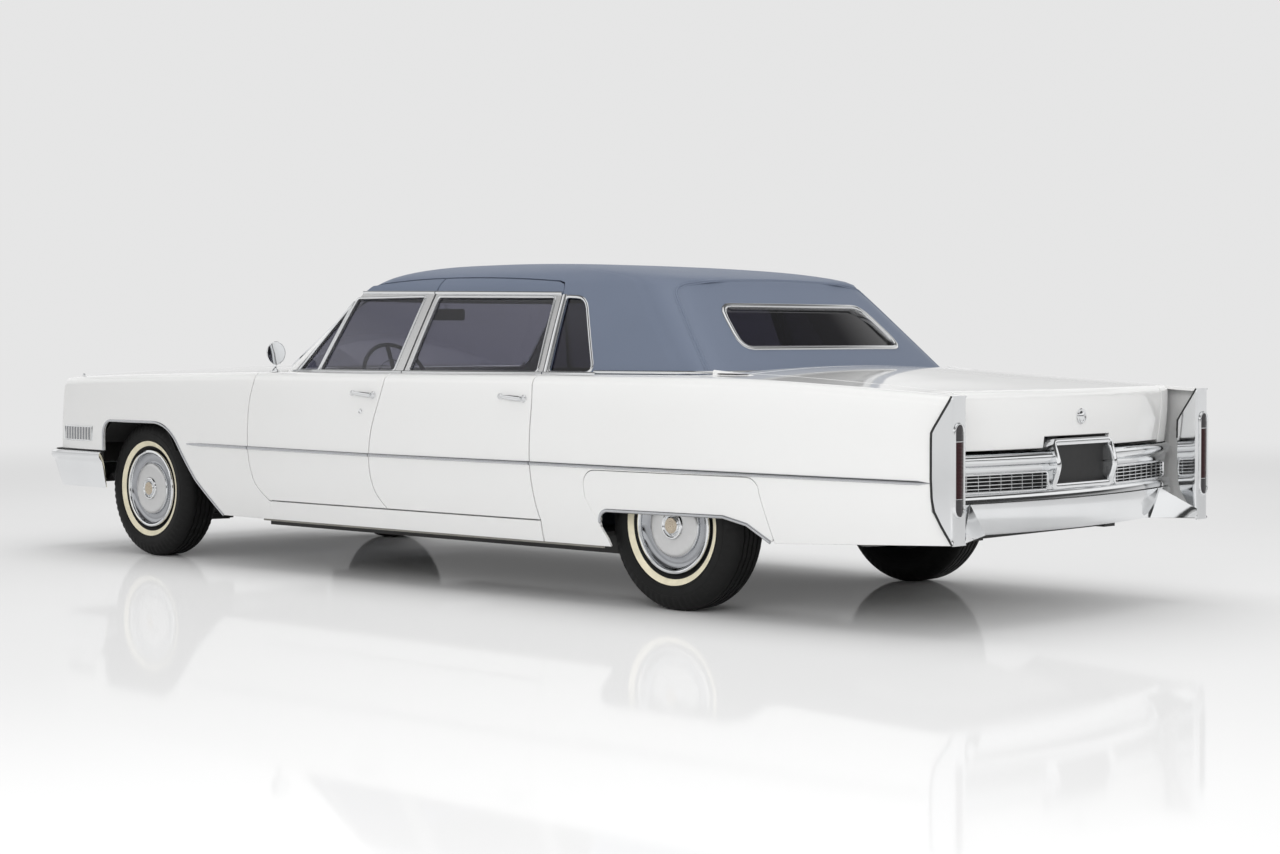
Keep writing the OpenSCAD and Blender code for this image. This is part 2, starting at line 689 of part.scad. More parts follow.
// Curved pane across the car; end 1 is the front, end 2 the rear
module cross_pane(end, outline, inset) {
    dir = end == 1 ? 1 : -1;
    zs = [for (k = [0 : 4]) lerp(outline[0][1] - 5, outline[1][1] + 5, k / 4)];
    ys = [for (j = [0 : 8]) lerp(dir, -dir, j / 8)];
    function px(y, z) = at(HOUSE, z, end)
        - dir * (at(HOUSE, z, end + 3) * pow(y / house_y(house_mid_x, z), 2) + inset);
    function row(f, d) = [for (z = zs)
        let (y = f * lerp(outline[0][0] + 3, outline[1][0] + 3, (z - zs[0]) / (zs[4] - zs[0])))
            [px(y, z) - dir * d, y, z]];
    intersection() {
        skin([for (f = ys) row(f, 0)], [for (f = ys) row(f, glass_t * 1.6)]);
        x_prism(shrink(outline, 0.6), min(tail_x, 0), max(nose_x, 0));
    }
}

module windscreen() {
    color(GLASS)
        cross_pane(1, SCREEN, 22);
}

module backlight() {
    color(GLASS)
        cross_pane(2, BACK, 22);
}

roof_inset = 26;
module roof() {
    color(VINYL)
        difference() {
            house(0, 0);
            house(roof_inset, 18);
            for (s = [-1, 1])
                on_side(s)
                    shut_prism(on_house(upper_both));
            side_prism(PANE_QUARTER, -cut_out_y, cut_out_y);
            x_prism(SCREEN, a_top_x - 200, nose_x);
            x_prism(BACK, tail_x, rear_axle_x + 330);
        }
}

// Door posts behind the centre shut line, and the division behind the front seat
module centre_posts() {
    leaf_y = half_at(b_low_x) - door_t - 0.5;
    color(TRIM)
        for (s = [-1, 1])
            on_side(s) {
                translate([b_low_x - 40, post_y, floor_z])
                    cube([80, 34, 662]);
                translate([b_low_x - 30, post_y + 30, 430])
                    cube([40, leaf_y - post_y - 30, 50]);
            }
}

partition_x = b_low_x - 20;
module partition() {
    color(TRIM)
        difference() {
            translate([partition_x - 20, -post_y + 5, floor_z])
                cube([40, 2 * post_y - 10, 640]);
            tunnel(tunnel_r + seat_gap);
        }
}

column_y = 420;
column_tilt = 112;
column_r = 18;
wheel_pos = [front_door_x - 460, column_y, 930];
module dashboard() {
    color(TRIM)
        difference() {
            union() {
                translate([front_door_x - 400, -post_y + 20, 760])
                    cube([340, 2 * post_y - 40, 150]);
                translate(wheel_pos)
                    rotate([0, column_tilt, 0])
                        translate([0, 0, 40])
                            cylinder(r = column_r + 14, h = 200);
            }
            translate(wheel_pos)
                rotate([0, column_tilt, 0])
                    cylinder(r = column_r + hub_clear, h = 150);
        }
}

// Bumpers, grille and lamps

// Bar swept along a plan path, between an outer and an inner profile.
// Columns of the profiles: distance outward, height
module plan_sweep(path, outer, inner, tuck = 1) {
    n = len(path);
    function heading(i) = let (d = path[min(i + 1, n - 1)] - path[max(i - 1, 0)]) d / norm(d);
    function row(i, profile) = let (d = heading(i))
        [for (p = profile) let (w = p[0] < 0 ? p[0] * lerp(tuck, 1, abs(d[1])) : p[0])
            [path[i][0] + d[1] * w, path[i][1] - d[0] * w, p[1]]];
    skin([for (i = [0 : n - 1]) row(i, outer)], [for (i = [0 : n - 1]) row(i, inner)]);
}

// Front bumper: a square-cornered blade that wraps back to the wheel arches
bumper_back_x = arch_front_x + 48;
function front_path(a) =
    let (c = pow(abs(cos(a)), 1 / 6), s = sign(sin(a)) * pow(abs(sin(a)), 1 / 6))
    [bumper_back_x + (nose_x - 26 - bumper_back_x) * c - 20 * s * s, (half_w - 49) * s];
FRONT_OUTER = [[0, 552], [26, 542], [26, 512], [10, 497], [4, 485], [-30, 400], [-60, 352]];
FRONT_INNER = [[-12, 550], [-12, 540], [-12, 512], [-14, 496], [-18, 482], [-50, 402], [-78, 354]];

module front_bumper() {
    angles = [-90, -89.99, -88, -80, -65, -45, -25, -8, 0, 8, 25, 45, 65, 80, 88, 89.99, 90];
    color(CHROME) {
        plan_sweep([for (a = angles) front_path(a)], FRONT_OUTER, FRONT_INNER, 0.35);
        for (s = [-1, 1])
            on_side(s)
                translate([nose_x - 205, 390, 440])
                    cube([170, 60, 40]);
    }
}

// Grille: surround plate with the lamp holes and a mesh of bars behind a main bar
grille_x = wing_front_x - 38;
LAMP_Z = [648, 800];
lamp_r = 70;
grille_z = 562;
grille_h = 320;
mesh_half = half_w - 325;
module grille() {
    bar_n = 7;
    post_n = 23;
    edge = 26;
    color(CHROME) {
        difference() {
            translate([grille_x, -half_w + 110, grille_z])
                cube([34, 2 * half_w - 220, grille_h]);
            translate([grille_x - 1, -mesh_half, grille_z + edge])
                cube([40, 2 * mesh_half, grille_h - 2 * edge]);
            for (s = [-1, 1], z = LAMP_Z)
                translate([grille_x - 1, s * lamp_y, z])
                    rotate([0, 90, 0])
                        cylinder(r = lamp_r + 4, h = 40);
        }
        for (k = [1 : bar_n])
            translate([grille_x + 6, -mesh_half - 0.5,
                       grille_z + edge + k * (grille_h - 2 * edge) / (bar_n + 1) - 4])
                cube([22, 2 * mesh_half + 1, 8]);
        for (k = [1 : post_n])
            translate([grille_x + 4, -mesh_half + k * 2 * mesh_half / (post_n + 1) - 3,
                       grille_z + edge - 0.5])
                cube([20, 6, grille_h - 2 * edge + 1]);
        for (s = [-1, 1])
            translate([front_axle_x + 566, s * 300 - 20, 690])
                cube([grille_x - front_axle_x - 566 + 5, 40, 40]);
    }
}

module headlamps() {
    color("whitesmoke")
        for (s = [-1, 1], z = LAMP_Z)
            translate([grille_x - 36, s * lamp_y, z])
                rotate([0, 90, 0]) {
                    cylinder(r = lamp_r + 3.5, h = 50);
                    translate([0, 0, 50])
                        cylinder(r1 = lamp_r, r2 = lamp_r - 20, h = 12);
                }
}

// Lamps let into the wing sides ahead of the wheels
module corner_lamps() {
    color("whitesmoke")
        for (s = [-1, 1])
            on_side(s)
                skin(
                    [for (i = [0 : 3]) let (x = front_axle_x + 408 + 309 * i / 3)
                        [for (k = [0, 1]) let (z = 606 + 78 * k) [x, side_y(x, z) + 5, z]]],
                    [for (i = [0 : 3]) let (x = front_axle_x + 408 + 309 * i / 3)
                        [for (k = [0, 1]) let (z = 606 + 78 * k) [x, side_y(x, z) + skin_gap, z]]]);
}

// Rear bumper: lamp pods at the corners, an upper bar, a lower blade and the plate recess
function rear_path(y) = [tail_x + 32 + 120 * pow(y / pod_y, 2), y];
BAR_OUTER = [[-6, bar_top_z], [4, 676], [0, 640], [-2, 612]];
BAR_INNER = [[-34, bar_top_z], [-34, 676], [-34, 640], [-34, 612]];
BLADE_OUTER = [[-6, 540], [6, 532], [10, 500], [4, 440], [-16, 378], [-40, 360]];
BLADE_INNER = [[-34, 540], [-34, 532], [-34, 500], [-34, 440], [-40, 392], [-52, 376]];
POD = [[-104, 486], [-104, 780], [-12, 921], [0, 905], [0, 372], [-9, 358]];
POD_PLAN = [[-120, -3], [-12, -3], [0, 6], [0, 77], [-12, 85], [-120, 93]];
plate_x = tail_x + 60;
LENS_Z = [469, 813];
lens_r = 27;

module pod_slot(r, depth) {
    translate([tail_x - 1, 0, 0])
        rotate([0, 90, 0])
            for (z = [LENS_Z[0] + r, LENS_Z[1] - r])
                translate([-z, lens_y, 0])
                    cylinder(r = r, h = depth + 1);
    translate([tail_x - 1, lens_y - r, LENS_Z[0] + r])
        cube([depth + 1, 2 * r, LENS_Z[1] - LENS_Z[0] - 2 * r]);
}

module rear_bumper() {
    ys = [for (j = [0 : 12]) lerp(pod_y + 4, -pod_y - 4, j / 12)];
    path = [for (y = ys) rear_path(y)];
    color(CHROME)
        difference() {
            union() {
                plan_sweep(path, BAR_OUTER, BAR_INNER);
                plan_sweep(path, BLADE_OUTER, BLADE_INNER);
                for (s = [-1, 1])
                    on_side(s)
                        difference() {
                            intersection() {
                                side_prism([for (p = POD) [tail_x - p[0], p[1]]], pod_y - 11, half_w - 75);
                                linear_extrude(1000)
                                    polygon([for (p = POD_PLAN) [tail_x - p[0], pod_y + p[1]]]);
                            }
                            pod_slot(lens_r, 24);
                        }
                for (s = [-1, 1])
                    on_side(s)
                        translate([tail_x + 60, pod_y - 5, 372])
                            cube([tail_panel_x - seat_gap - tail_x - 60, 14, bar_top_z - 372]);
                translate([tail_x + 14, -226, 528])
                    cube([110, 452, 206]);
                for (s = [-1, 1])
                    translate([tail_x + 60, s * 420 - 30, 440])
                        cube([tail_panel_x - tail_x - 60, 60, 40]);
            }
            translate([tail_x, -190, 552])
                cube([60, 380, 162]);
            for (u = [-1, 1], v = [-1, 1])
                translate([plate_x - 1, u * plate_bolt_w / 2, 633 + v * plate_bolt_h / 2])
                    rotate([0, 90, 0])
                        cylinder(r = plate_hole_r, h = 30);
        }
}

module tail_lamps() {
    color("darkred")
        for (s = [-1, 1])
            on_side(s)
                translate([4, 0, 0])
                    intersection() {
                        pod_slot(lens_r - seat_gap, 20);
                        translate([tail_x - 1, pod_y, 400])
                            cube([20.6, 150, 500]);
                    }
}

module rear_grilles() {
    color(CHROME)
        for (s = [-1, 1])
            on_side(s)
                translate([tail_x + 60, 232, 541])
                    rotate([0, 0, -8.2]) {
                        for (k = [0 : 3])
                            translate([0, 0, 8 + k * 17])
                                cube([14, pod_y - 251, 5]);
                        for (k = [0 : 9])
                            translate([2, 4 + k * (pod_y - 269.5) / 9, 0])
                                cube([12, 4, 70.5]);
                    }
}

module door_mirror() {
    x = front_door_x - 122;
    y = half_w - 90;
    z = deck_z(x, y - 20) + 0.3;
    color(CHROME) {
        translate([x, y, z])
            cylinder(r = 20, h = 8);
        translate([x, y, z])
            cylinder(r = 8, h = 70);
        translate([x - 14, y, z + 92])
            rotate([0, 90, 0])
                cylinder(r = 58, h = 30);
    }
}

// Seats and steering

module front_seat() {
    color(TRIM)
        difference() {
            translate([b_low_x + 60, -seat_half, floor_z + seat_gap]) {
                translate([160, 0, 0])
                    cube([480, 2 * seat_half, 250]);
                cube([180, 2 * seat_half, 570]);
            }
            tunnel(tunnel_r + seat_gap);
        }
}

module rear_seat() {
    color(TRIM)
        difference() {
            union() {
                translate([rear_axle_x + 440, -boot_floor_half, floor_z + seat_gap])
                    cube([430, 2 * boot_floor_half, 262]);
                translate([rear_axle_x + 180, -boot_floor_half, 520.4])
                    cube([300, 2 * boot_floor_half, 440]);
            }
            tunnel(tunnel_r + seat_gap);
        }
}

module steering_wheel() {
    color("darkslategray")
        translate(wheel_pos)
            rotate([0, column_tilt, 0]) {
                rotate_extrude()
                    translate([205, 0])
                        circle(r = 11, $fn = 24);
                cylinder(r = 40, h = 30, center = true);
                for (a = [0, 180])
                    rotate([0, 0, a])
                        translate([30, -14, -6])
                            cube([170, 28, 12]);
                translate([0, 0, 10])
                    cylinder(r = column_r, h = 110);
            }
}

// Chassis

rail_bottom = 200;
module chassis_frame() {
    color(STEEL)
        union() {
            for (s = [-1, 1])
                on_side(s) {
                    translate([rear_axle_x + 480, 620, rail_bottom])
                        cube([front_axle_x - 900 - rear_axle_x - 480, 90, 90]);
                    side_prism([
                        [front_axle_x + 726, 400], [front_axle_x + 726, 490], [front_axle_x - 560, 430],
                        [front_axle_x - 800, 290], [front_axle_x - 980, 290], [front_axle_x - 980, 200],
                        [front_axle_x - 760, 200], [front_axle_x - 520, 340]], 380, 460);
                    translate([front_axle_x - 980, 380, rail_bottom])
                        cube([160, 330, 90]);
                    side_prism([
                        [rear_axle_x + 560, 200], [rear_axle_x + 560, 290], [rear_axle_x + 400, 290],
                        [rear_axle_x + 220, 500], [rear_axle_x - 260, 500], [rear_axle_x - 520, 420],
                        [tail_x + 215, 420], [tail_x + 215, 340], [rear_axle_x - 480, 340],
                        [rear_axle_x - 220, 425], [rear_axle_x + 200, 425],
                        [rear_axle_x + 360, 200]], 440, 520);
                    translate([rear_axle_x + 400, 440, rail_bottom])
                        cube([160, 270, 90]);
                }
            translate([front_axle_x - 60, -385, 345])
                cube([120, 770, 50]);
            translate([front_axle_x + 600, -385, 420])
                cube([60, 770, 50]);
            translate([tail_x + 225, -445, 345])
                cube([60, 890, 60]);
            translate([-60, -625, rail_bottom])
                cube([120, 1250, 50]);
        }
}

module floor_pan() {
    back = rear_axle_x + 420;
    front = front_door_x - 30;
    color(STEEL)
        union() {
            difference() {
                union() {
                    translate([back, -floor_half, floor_z - 18])
                        cube([front - back, 2 * floor_half, 18]);
                    side_prism([
                        [back + 1, 290], [back + 1, 308], [rear_axle_x + 330, 520],
                        [rear_axle_x - 320, 520], [rear_axle_x - 560, 440], [tail_x + 210, 440],
                        [tail_x + 210, 424], [rear_axle_x - 552, 424], [rear_axle_x - 312, 502],
                        [rear_axle_x + 318, 502], [rear_axle_x + 405, 290]],
                    -boot_floor_half, boot_floor_half);
                    intersection() {
                        tunnel(tunnel_r);
                        translate([back - 60, -200, 290])
                            cube([front - back + 60, 400, 200]);
                    }
                }
                tunnel(tunnel_r - 16);
            }
        }
}

// Panel that carries the radiator, the grille and the front ends of the wings
module radiator_support() {
    x = front_axle_x + 540;
    color(STEEL)
        union() {
            translate([x, -half_w + 135, 483])
                cube([26, 2 * half_w - 270, 397]);
            for (s = [-1, 1])
                on_side(s)
                    translate([x, half_w - 145, 590])
                        cube([26, half_at(x + 26) - skin_t - skin_gap - half_w + 145, 20]);
            for (s = [-1, 1])
                translate([x, s * 500 - 30, 870])
                    cube([26, 60, deck_z(x + 26, 530) - lid_t - bonnet_stop_gap - 870]);
        }
}

module engine() {
    color(STEEL) {
        translate([front_axle_x - 640, -280, 440])
            cube([900, 560, 430]);
        translate([front_axle_x - 260, -200, 395.3])
            cube([420, 400, 50]);
        translate([front_axle_x - 1000, -100, 296])
            cube([400, 200, 240]);
    }
}

module driveline() {
    color(STEEL) {
        translate([rear_axle_x + 128, 0, 340])
            rotate([0, 90, 0])
                cylinder(r = 36, h = front_axle_x - 1000.3 - rear_axle_x - 128);
        for (s = [-1, 1])
            translate([rear_axle_x + 780, s * 330, 240])
                rotate([0, 90, 0])
                    cylinder(r = 49.7, h = 700);
    }
}

module fuel_tank() {
    color(STEEL)
        translate([tail_x + 330, -420, 260])
            cube([560, 840, 163.7]);
}

// Running gear
king_y = track / 2 - 96;
knuckle_top = 150;
king_r = 18;
hub_in_y = track / 2 - 78;
// Columns: underside of the arm, bottom and top of its bracket on the frame rail
ARMS = [
    [tyre_r - knuckle_top - 30.5, tyre_r - knuckle_top - 30.5, 361.5],
    [tyre_r + knuckle_top + 0.5, 459.5, 541]];
module front_suspension() {
    color(STEEL)
        for (s = [-1, 1])
            on_side(s)
                for (a = ARMS) {
                    translate([front_axle_x, king_y, a[0]])
                        cylinder(r = king_r, h = 30);
                    translate([0, 0, a[0]])
                        linear_extrude(30)
                            polygon([
                                [front_axle_x - 20, king_y], [front_axle_x + 20, king_y],
                                [front_axle_x + 110, 450], [front_axle_x - 110, 450]]);
                    translate([front_axle_x - 60, 390, a[1]])
                        cube([120, 62, a[2] - a[1]]);
                }
}

module knuckle(side) {
    on_side(side)
        union() {
            translate([front_axle_x, king_y, tyre_r - knuckle_top])
                cylinder(r = king_r, h = 2 * knuckle_top);
            translate([front_axle_x, king_y, tyre_r])
                rotate([-90, 0, 0])
                    cylinder(r = 60, h = hub_in_y - king_y);
            translate([front_axle_x, king_y, tyre_r])
                rotate([-90, 0, 0])
                    cylinder(r = stub_r, h = track / 2 + 36 - king_y);
            translate([front_axle_x - 150, king_y - 20, tyre_r - 100])
                cube([150, 30, 30]);
        }
}

module knuckle_left() {
    color(STEEL)
        knuckle(1);
}

module knuckle_right() {
    color(STEEL)
        knuckle(-1);
}

module rear_axle() {
    color(STEEL)
        union() {
            translate([rear_axle_x, hub_in_y, tyre_r])
                rotate([90, 0, 0])
                    cylinder(r = 45, h = 2 * hub_in_y);
            translate([rear_axle_x, track / 2 + 36, tyre_r])
                rotate([90, 0, 0])
                    cylinder(r = stub_r, h = track + 72);
            translate([rear_axle_x, 0, tyre_r])
                sphere(r = 128);
            for (s = [-1, 1])
                translate([rear_axle_x, s * 480, tyre_r])
                    cylinder(r = 38, h = 64.7);
        }
}

// Columns of the profiles: radius, distance outboard of the tyre's middle
TYRE = [
    [196.3, -61], [212, -77], [230, -92], [285, -tyre_w / 2], [325, -98], [tyre_r - 8, -82], [tyre_r, -60],
    [tyre_r, 60], [tyre_r - 8, 82], [325, 98], [285, tyre_w / 2], [230, 92], [212, 77], [196.3, 61]];
WHEEL = [
    [stub_r + hub_clear, -40], [60, -40], [60, 10], [150, 10], [150, -70], [160, -72], [160, 10], [175, 20],
    [180, -60], [205, -78], [208, -74], [195.8, -62], [195.8, 62], [cover_r, 80], [cover_r, 86], [196, 95],
    [190, 90], [170, 70], [140, 72], [131, 88], [60, 92], [48, 100], [20, 104], [0, 104], [0, 40],
    [stub_r + hub_clear, 38]];

module at_wheel(x, side) {
    translate([x, side * track / 2, tyre_r])
        rotate([-90 * side, 0, 0])
            children();
}

module tyre(x, side) {
    color(RUBBER)
        at_wheel(x, side)
            rotate_extrude()
                polygon(TYRE);
}

module wheel(x, side) {
    color(CHROME)
        at_wheel(x, side)
            rotate_extrude()
                polygon(WHEEL);
}

module wheel_front_left() {
    wheel(front_axle_x, 1);
}

module wheel_front_right() {
    wheel(front_axle_x, -1);
}

module wheel_rear_left() {
    wheel(rear_axle_x, 1);
}

module wheel_rear_right() {
    wheel(rear_axle_x, -1);
}

module tyre_front_left() {
    tyre(front_axle_x, 1);
}

module tyre_front_right() {
    tyre(front_axle_x, -1);
}

module tyre_rear_left() {
    tyre(rear_axle_x, 1);
}

module tyre_rear_right() {
    tyre(rear_axle_x, -1);
}

chassis_frame();
floor_pan();
radiator_support();
sills();
cowl();
front_wing_left();
front_wing_right();
bonnet();
roof();
quarter_left();
quarter_right();
wheel_skirts();
rear_deck();
tail_panel();
boot_lid();
door_front_left();
door_front_right();
door_rear_left();
door_rear_right();
glass_front_left();
glass_front_right();
glass_rear_left();
glass_rear_right();
windscreen();
backlight();
quarter_glass();
centre_posts();
partition();
front_bumper();
grille();
headlamps();
corner_lamps();
rear_bumper();
rear_grilles();
tail_lamps();
door_mirror();
dashboard();
steering_wheel();
front_seat();
rear_seat();
engine();
front_suspension();
knuckle_left();
knuckle_right();
rear_axle();
driveline();
fuel_tank();
wheel_front_left();
wheel_front_right();
wheel_rear_left();
wheel_rear_right();
tyre_front_left();
tyre_front_right();
tyre_rear_left();
tyre_rear_right();
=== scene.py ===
"""Looks of a white six-window limousine of the mid nineteen-sixties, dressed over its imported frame."""
import math
import bmesh
import bpy
import numpy as np
from mathutils import Matrix, Vector
from mathutils.bvhtree import BVHTree
from mathutils.geometry import delaunay_2d_cdt


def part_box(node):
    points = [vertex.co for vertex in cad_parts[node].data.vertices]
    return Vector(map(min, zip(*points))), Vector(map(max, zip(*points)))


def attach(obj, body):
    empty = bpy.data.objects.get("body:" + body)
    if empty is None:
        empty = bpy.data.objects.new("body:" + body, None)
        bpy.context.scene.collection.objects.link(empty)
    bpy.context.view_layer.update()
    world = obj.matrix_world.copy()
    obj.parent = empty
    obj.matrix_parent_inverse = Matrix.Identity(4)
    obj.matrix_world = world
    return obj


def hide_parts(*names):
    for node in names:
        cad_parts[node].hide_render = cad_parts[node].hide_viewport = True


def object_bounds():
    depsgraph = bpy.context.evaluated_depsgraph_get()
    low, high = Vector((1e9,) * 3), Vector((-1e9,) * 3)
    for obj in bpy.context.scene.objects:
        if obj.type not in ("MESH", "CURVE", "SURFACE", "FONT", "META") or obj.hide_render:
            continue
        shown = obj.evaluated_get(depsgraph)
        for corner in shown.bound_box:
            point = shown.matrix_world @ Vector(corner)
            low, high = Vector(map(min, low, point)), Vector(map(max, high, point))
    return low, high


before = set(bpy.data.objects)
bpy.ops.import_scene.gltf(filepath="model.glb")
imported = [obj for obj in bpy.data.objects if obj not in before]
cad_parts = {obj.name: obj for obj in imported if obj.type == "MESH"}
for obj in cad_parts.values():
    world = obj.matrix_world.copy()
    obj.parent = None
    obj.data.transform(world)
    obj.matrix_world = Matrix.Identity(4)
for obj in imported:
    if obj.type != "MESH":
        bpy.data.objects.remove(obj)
CAD_BOX = [[float(v) for v in corner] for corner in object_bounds()]

# Body sides: pressed steel wings, door skins and quarter panels in gloss white enamel.
# They share one drawn surface, swept along the car from a few stations, and are cut at the shut lines.
nose_x = CAD_BOX[1][0]
tail_x = CAD_BOX[0][0]


def centre_of(node):
    low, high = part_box(node)
    return (np.array(low) + np.array(high)) / 2


front_axle_x = centre_of("wheel_front_left")[0]
rear_axle_x = centre_of("wheel_rear_left")[0]
tyre_r = centre_of("tyre_front_left")[2]
half_w = 1.015
wide_z = 0.600
shoulder_r = 0.042
shut_gap = 0.006
shut_slant = math.tan(math.radians(12))
bonnet_half = 0.760
boot_half = 0.745
belt_z = 0.985
sill_z = 0.258
door_z = 0.355
front_door_x = front_axle_x - 1.029
centre_door_x = front_door_x - 0.948
rear_door_x = rear_axle_x + 0.738
wing_front_x = nose_x - 0.175
# Columns: x, half width, shoulder height, crown
BODY = np.array([
    [tail_x, half_w - 0.092, 0.921, 0.004],
    [rear_axle_x - 0.950, half_w - 0.058, 0.953, 0.024],
    [rear_axle_x - 0.380, half_w - 0.032, 0.979, 0.040],
    [rear_axle_x + 0.430, half_w - 0.009, 0.985, 0.040],
    [(front_axle_x + rear_axle_x) / 2, half_w, 0.986, 0.036],
    [front_axle_x - 1.100, half_w - 0.003, 0.987, 0.032],
    [front_axle_x - 0.400, half_w - 0.013, 0.977, 0.030],
    [front_axle_x + 0.250, half_w - 0.031, 0.965, 0.028],
    [front_axle_x + 0.620, half_w - 0.054, 0.955, 0.026],
    [nose_x - 0.140, half_w - 0.076, 0.943, 0.022]])
# Columns: z, front, centre and rear shut line, as distances along x
SHUT = np.array([[0.350, -0.152, -0.110, -0.046], [0.420, -0.060, -0.040, -0.026],
                 [0.500, -0.022, -0.008, -0.012], [0.600, -0.004, 0, 0], [0.720, 0, -0.014, 0.002],
                 [0.860, -0.006, -0.058, 0], [0.985, -0.042, -0.095, 0.010]])
SHUT_BASE = (0, front_door_x, centre_door_x, rear_door_x)


def at(rows, x, column):
    """Smooth lookup in a table whose first column rises."""
    x = np.clip(x, rows[0, 0], rows[-1, 0])
    i = np.clip(np.searchsorted(rows[:, 0], x, side="right") - 1, 0, len(rows) - 2)
    k = np.arange(len(rows))
    a, b = np.maximum(k - 1, 0), np.minimum(k + 1, len(rows) - 1)
    slope = (rows[b, column] - rows[a, column]) / (rows[b, 0] - rows[a, 0])
    h = rows[i + 1, 0] - rows[i, 0]
    u = (x - rows[i, 0]) / h
    return (rows[i, column] * (1 + 2 * u) * (1 - u) ** 2 + slope[i] * h * u * (1 - u) ** 2
            + rows[i + 1, column] * u * u * (3 - 2 * u) - slope[i + 1] * h * u * u * (1 - u))


def side_y(x, z):
    return at(BODY, x, 1) - 0.22 * np.maximum(0, z - wide_z) ** 2 - 0.38 * np.maximum(0, wide_z - z) ** 2


def shoulder(x):
    """Start height, start and end angle, radius and inner edge of the shoulder's round at x."""
    top = at(BODY, x, 2)
    start_z = top - shoulder_r
    a0 = np.arctan(0.44 * (start_z - wide_z))
    a1 = math.pi / 2 - np.arctan(2 * at(BODY, x, 3) / (half_w - 0.1))
    r = shoulder_r / (np.sin(a1) - np.sin(a0))
    edge_y = side_y(x, start_z) - r * (np.cos(a0) - np.cos(a1))
    return top, start_z, a0, a1, r, edge_y


def deck_z(x, y):
    top, _, _, _, _, edge_y = shoulder(x)
    return top + at(BODY, x, 3) * (1 - np.minimum(np.abs(y) / edge_y, 1) ** 2)


def side_surface(x, s):
    """Point on the left body side: s is the height, then the way on round the shoulder and inward."""
    top, start_z, a0, a1, r, edge_y = shoulder(x)
    turn = np.clip(a0 + (s - start_z) / r, a0, a1)
    flat = np.maximum(s - start_z - r * (a1 - a0), 0)
    z_side = np.minimum(s, start_z)
    y = side_y(x, z_side) - r * (np.cos(a0) - np.cos(turn)) - flat
    z = z_side + r * (np.sin(turn) - np.sin(a0))
    return np.stack([x, y, np.where(flat > 0, deck_z(x, y), z)], -1)


def side_s(x, y):
    """The value of s at which the deck part of the side surface reaches y."""
    _, start_z, a0, a1, r, edge_y = shoulder(x)
    return start_z + r * (a1 - a0) + edge_y - y


def shut_x(line, z):
    return SHUT_BASE[line] + at(SHUT, z, line)


MIRROR = np.array([1, -1, 1])


def normals_of(surface, u, v, out):
    step = 1e-4
    n = np.cross(surface(u + step, v) - surface(u - step, v), surface(u, v + step) - surface(u, v - step))
    n /= np.linalg.norm(n, axis=-1, keepdims=True) + 1e-12
    return n * np.where(n @ np.array(out, float) < 0, -1, 1)[..., None]


def anticlockwise(outline):
    """Closed outline as an array, turned to run anticlockwise."""
    p = np.array(outline, float)
    area = (p[:, 0] * np.roll(p[:, 1], -1) - p[:, 1] * np.roll(p[:, 0], -1)).sum()
    return p if area > 0 else p[::-1]


def densify(outline, spacing):
    """Closed outline with points no further apart than spacing."""
    p = np.array(outline, float)
    q = np.roll(p, -1, 0)
    counts = np.maximum(1, np.ceil(np.linalg.norm(q - p, axis=1) / spacing)).astype(int)
    return np.concatenate([a + (b - a) * np.arange(n)[:, None] / n for a, b, n in zip(p, q, counts)])


def inset(ring, d):
    """Closed outline moved inward by d; it runs anticlockwise."""
    e = np.roll(ring, -1, 0) - ring
    n = np.stack([-e[:, 1], e[:, 0]], 1) / (np.linalg.norm(e, axis=1, keepdims=True) + 1e-12)
    m = n + np.roll(n, 1, 0)
    m /= np.maximum((m * n).sum(1), 0.35)[:, None]
    return ring + d * m


def distance(points, ring):
    """Distance of each point from a closed outline."""
    e = np.roll(ring, -1, 0) - ring
    dx, dy = points[:, :1] - ring[:, 0], points[:, 1:] - ring[:, 1]
    t = np.clip((dx * e[:, 0] + dy * e[:, 1]) / ((e ** 2).sum(1) + 1e-12), 0, 1)
    return np.sqrt(((dx - t * e[:, 0]) ** 2 + (dy - t * e[:, 1]) ** 2).min(1))


def inside(points, ring):
    """Which points lie inside a closed outline."""
    a, b = ring, np.roll(ring, -1, 0)
    x, y = points[:, :1], points[:, 1:]
    span = (a[:, 1] > y) != (b[:, 1] > y)
    tall = np.where(b[:, 1] == a[:, 1], 1e-9, b[:, 1] - a[:, 1])
    cross = (b[:, 0] - a[:, 0]) * (y - a[:, 1]) / tall + a[:, 0]
    return (span & (x < cross)).sum(1) % 2 == 1


def in_scene(name, data):
    """New object, linked to the scene."""
    obj = bpy.data.objects.new(name, data)
    bpy.context.scene.collection.objects.link(obj)
    return obj


def new_mesh(name, points, faces, normals=None):
    """Smooth-shaded object from points and faces, with its own normals where they are given."""
    mesh = bpy.data.meshes.new(name)
    mesh.from_pydata([tuple(map(float, p)) for p in points], [], [tuple(map(int, f)) for f in faces])
    mesh.validate()
    mesh.polygons.foreach_set("use_smooth", [True] * len(mesh.polygons))
    if normals is not None:
        mesh.normals_split_custom_set_from_vertices([tuple(map(float, n)) for n in normals])
    return in_scene(name, mesh)


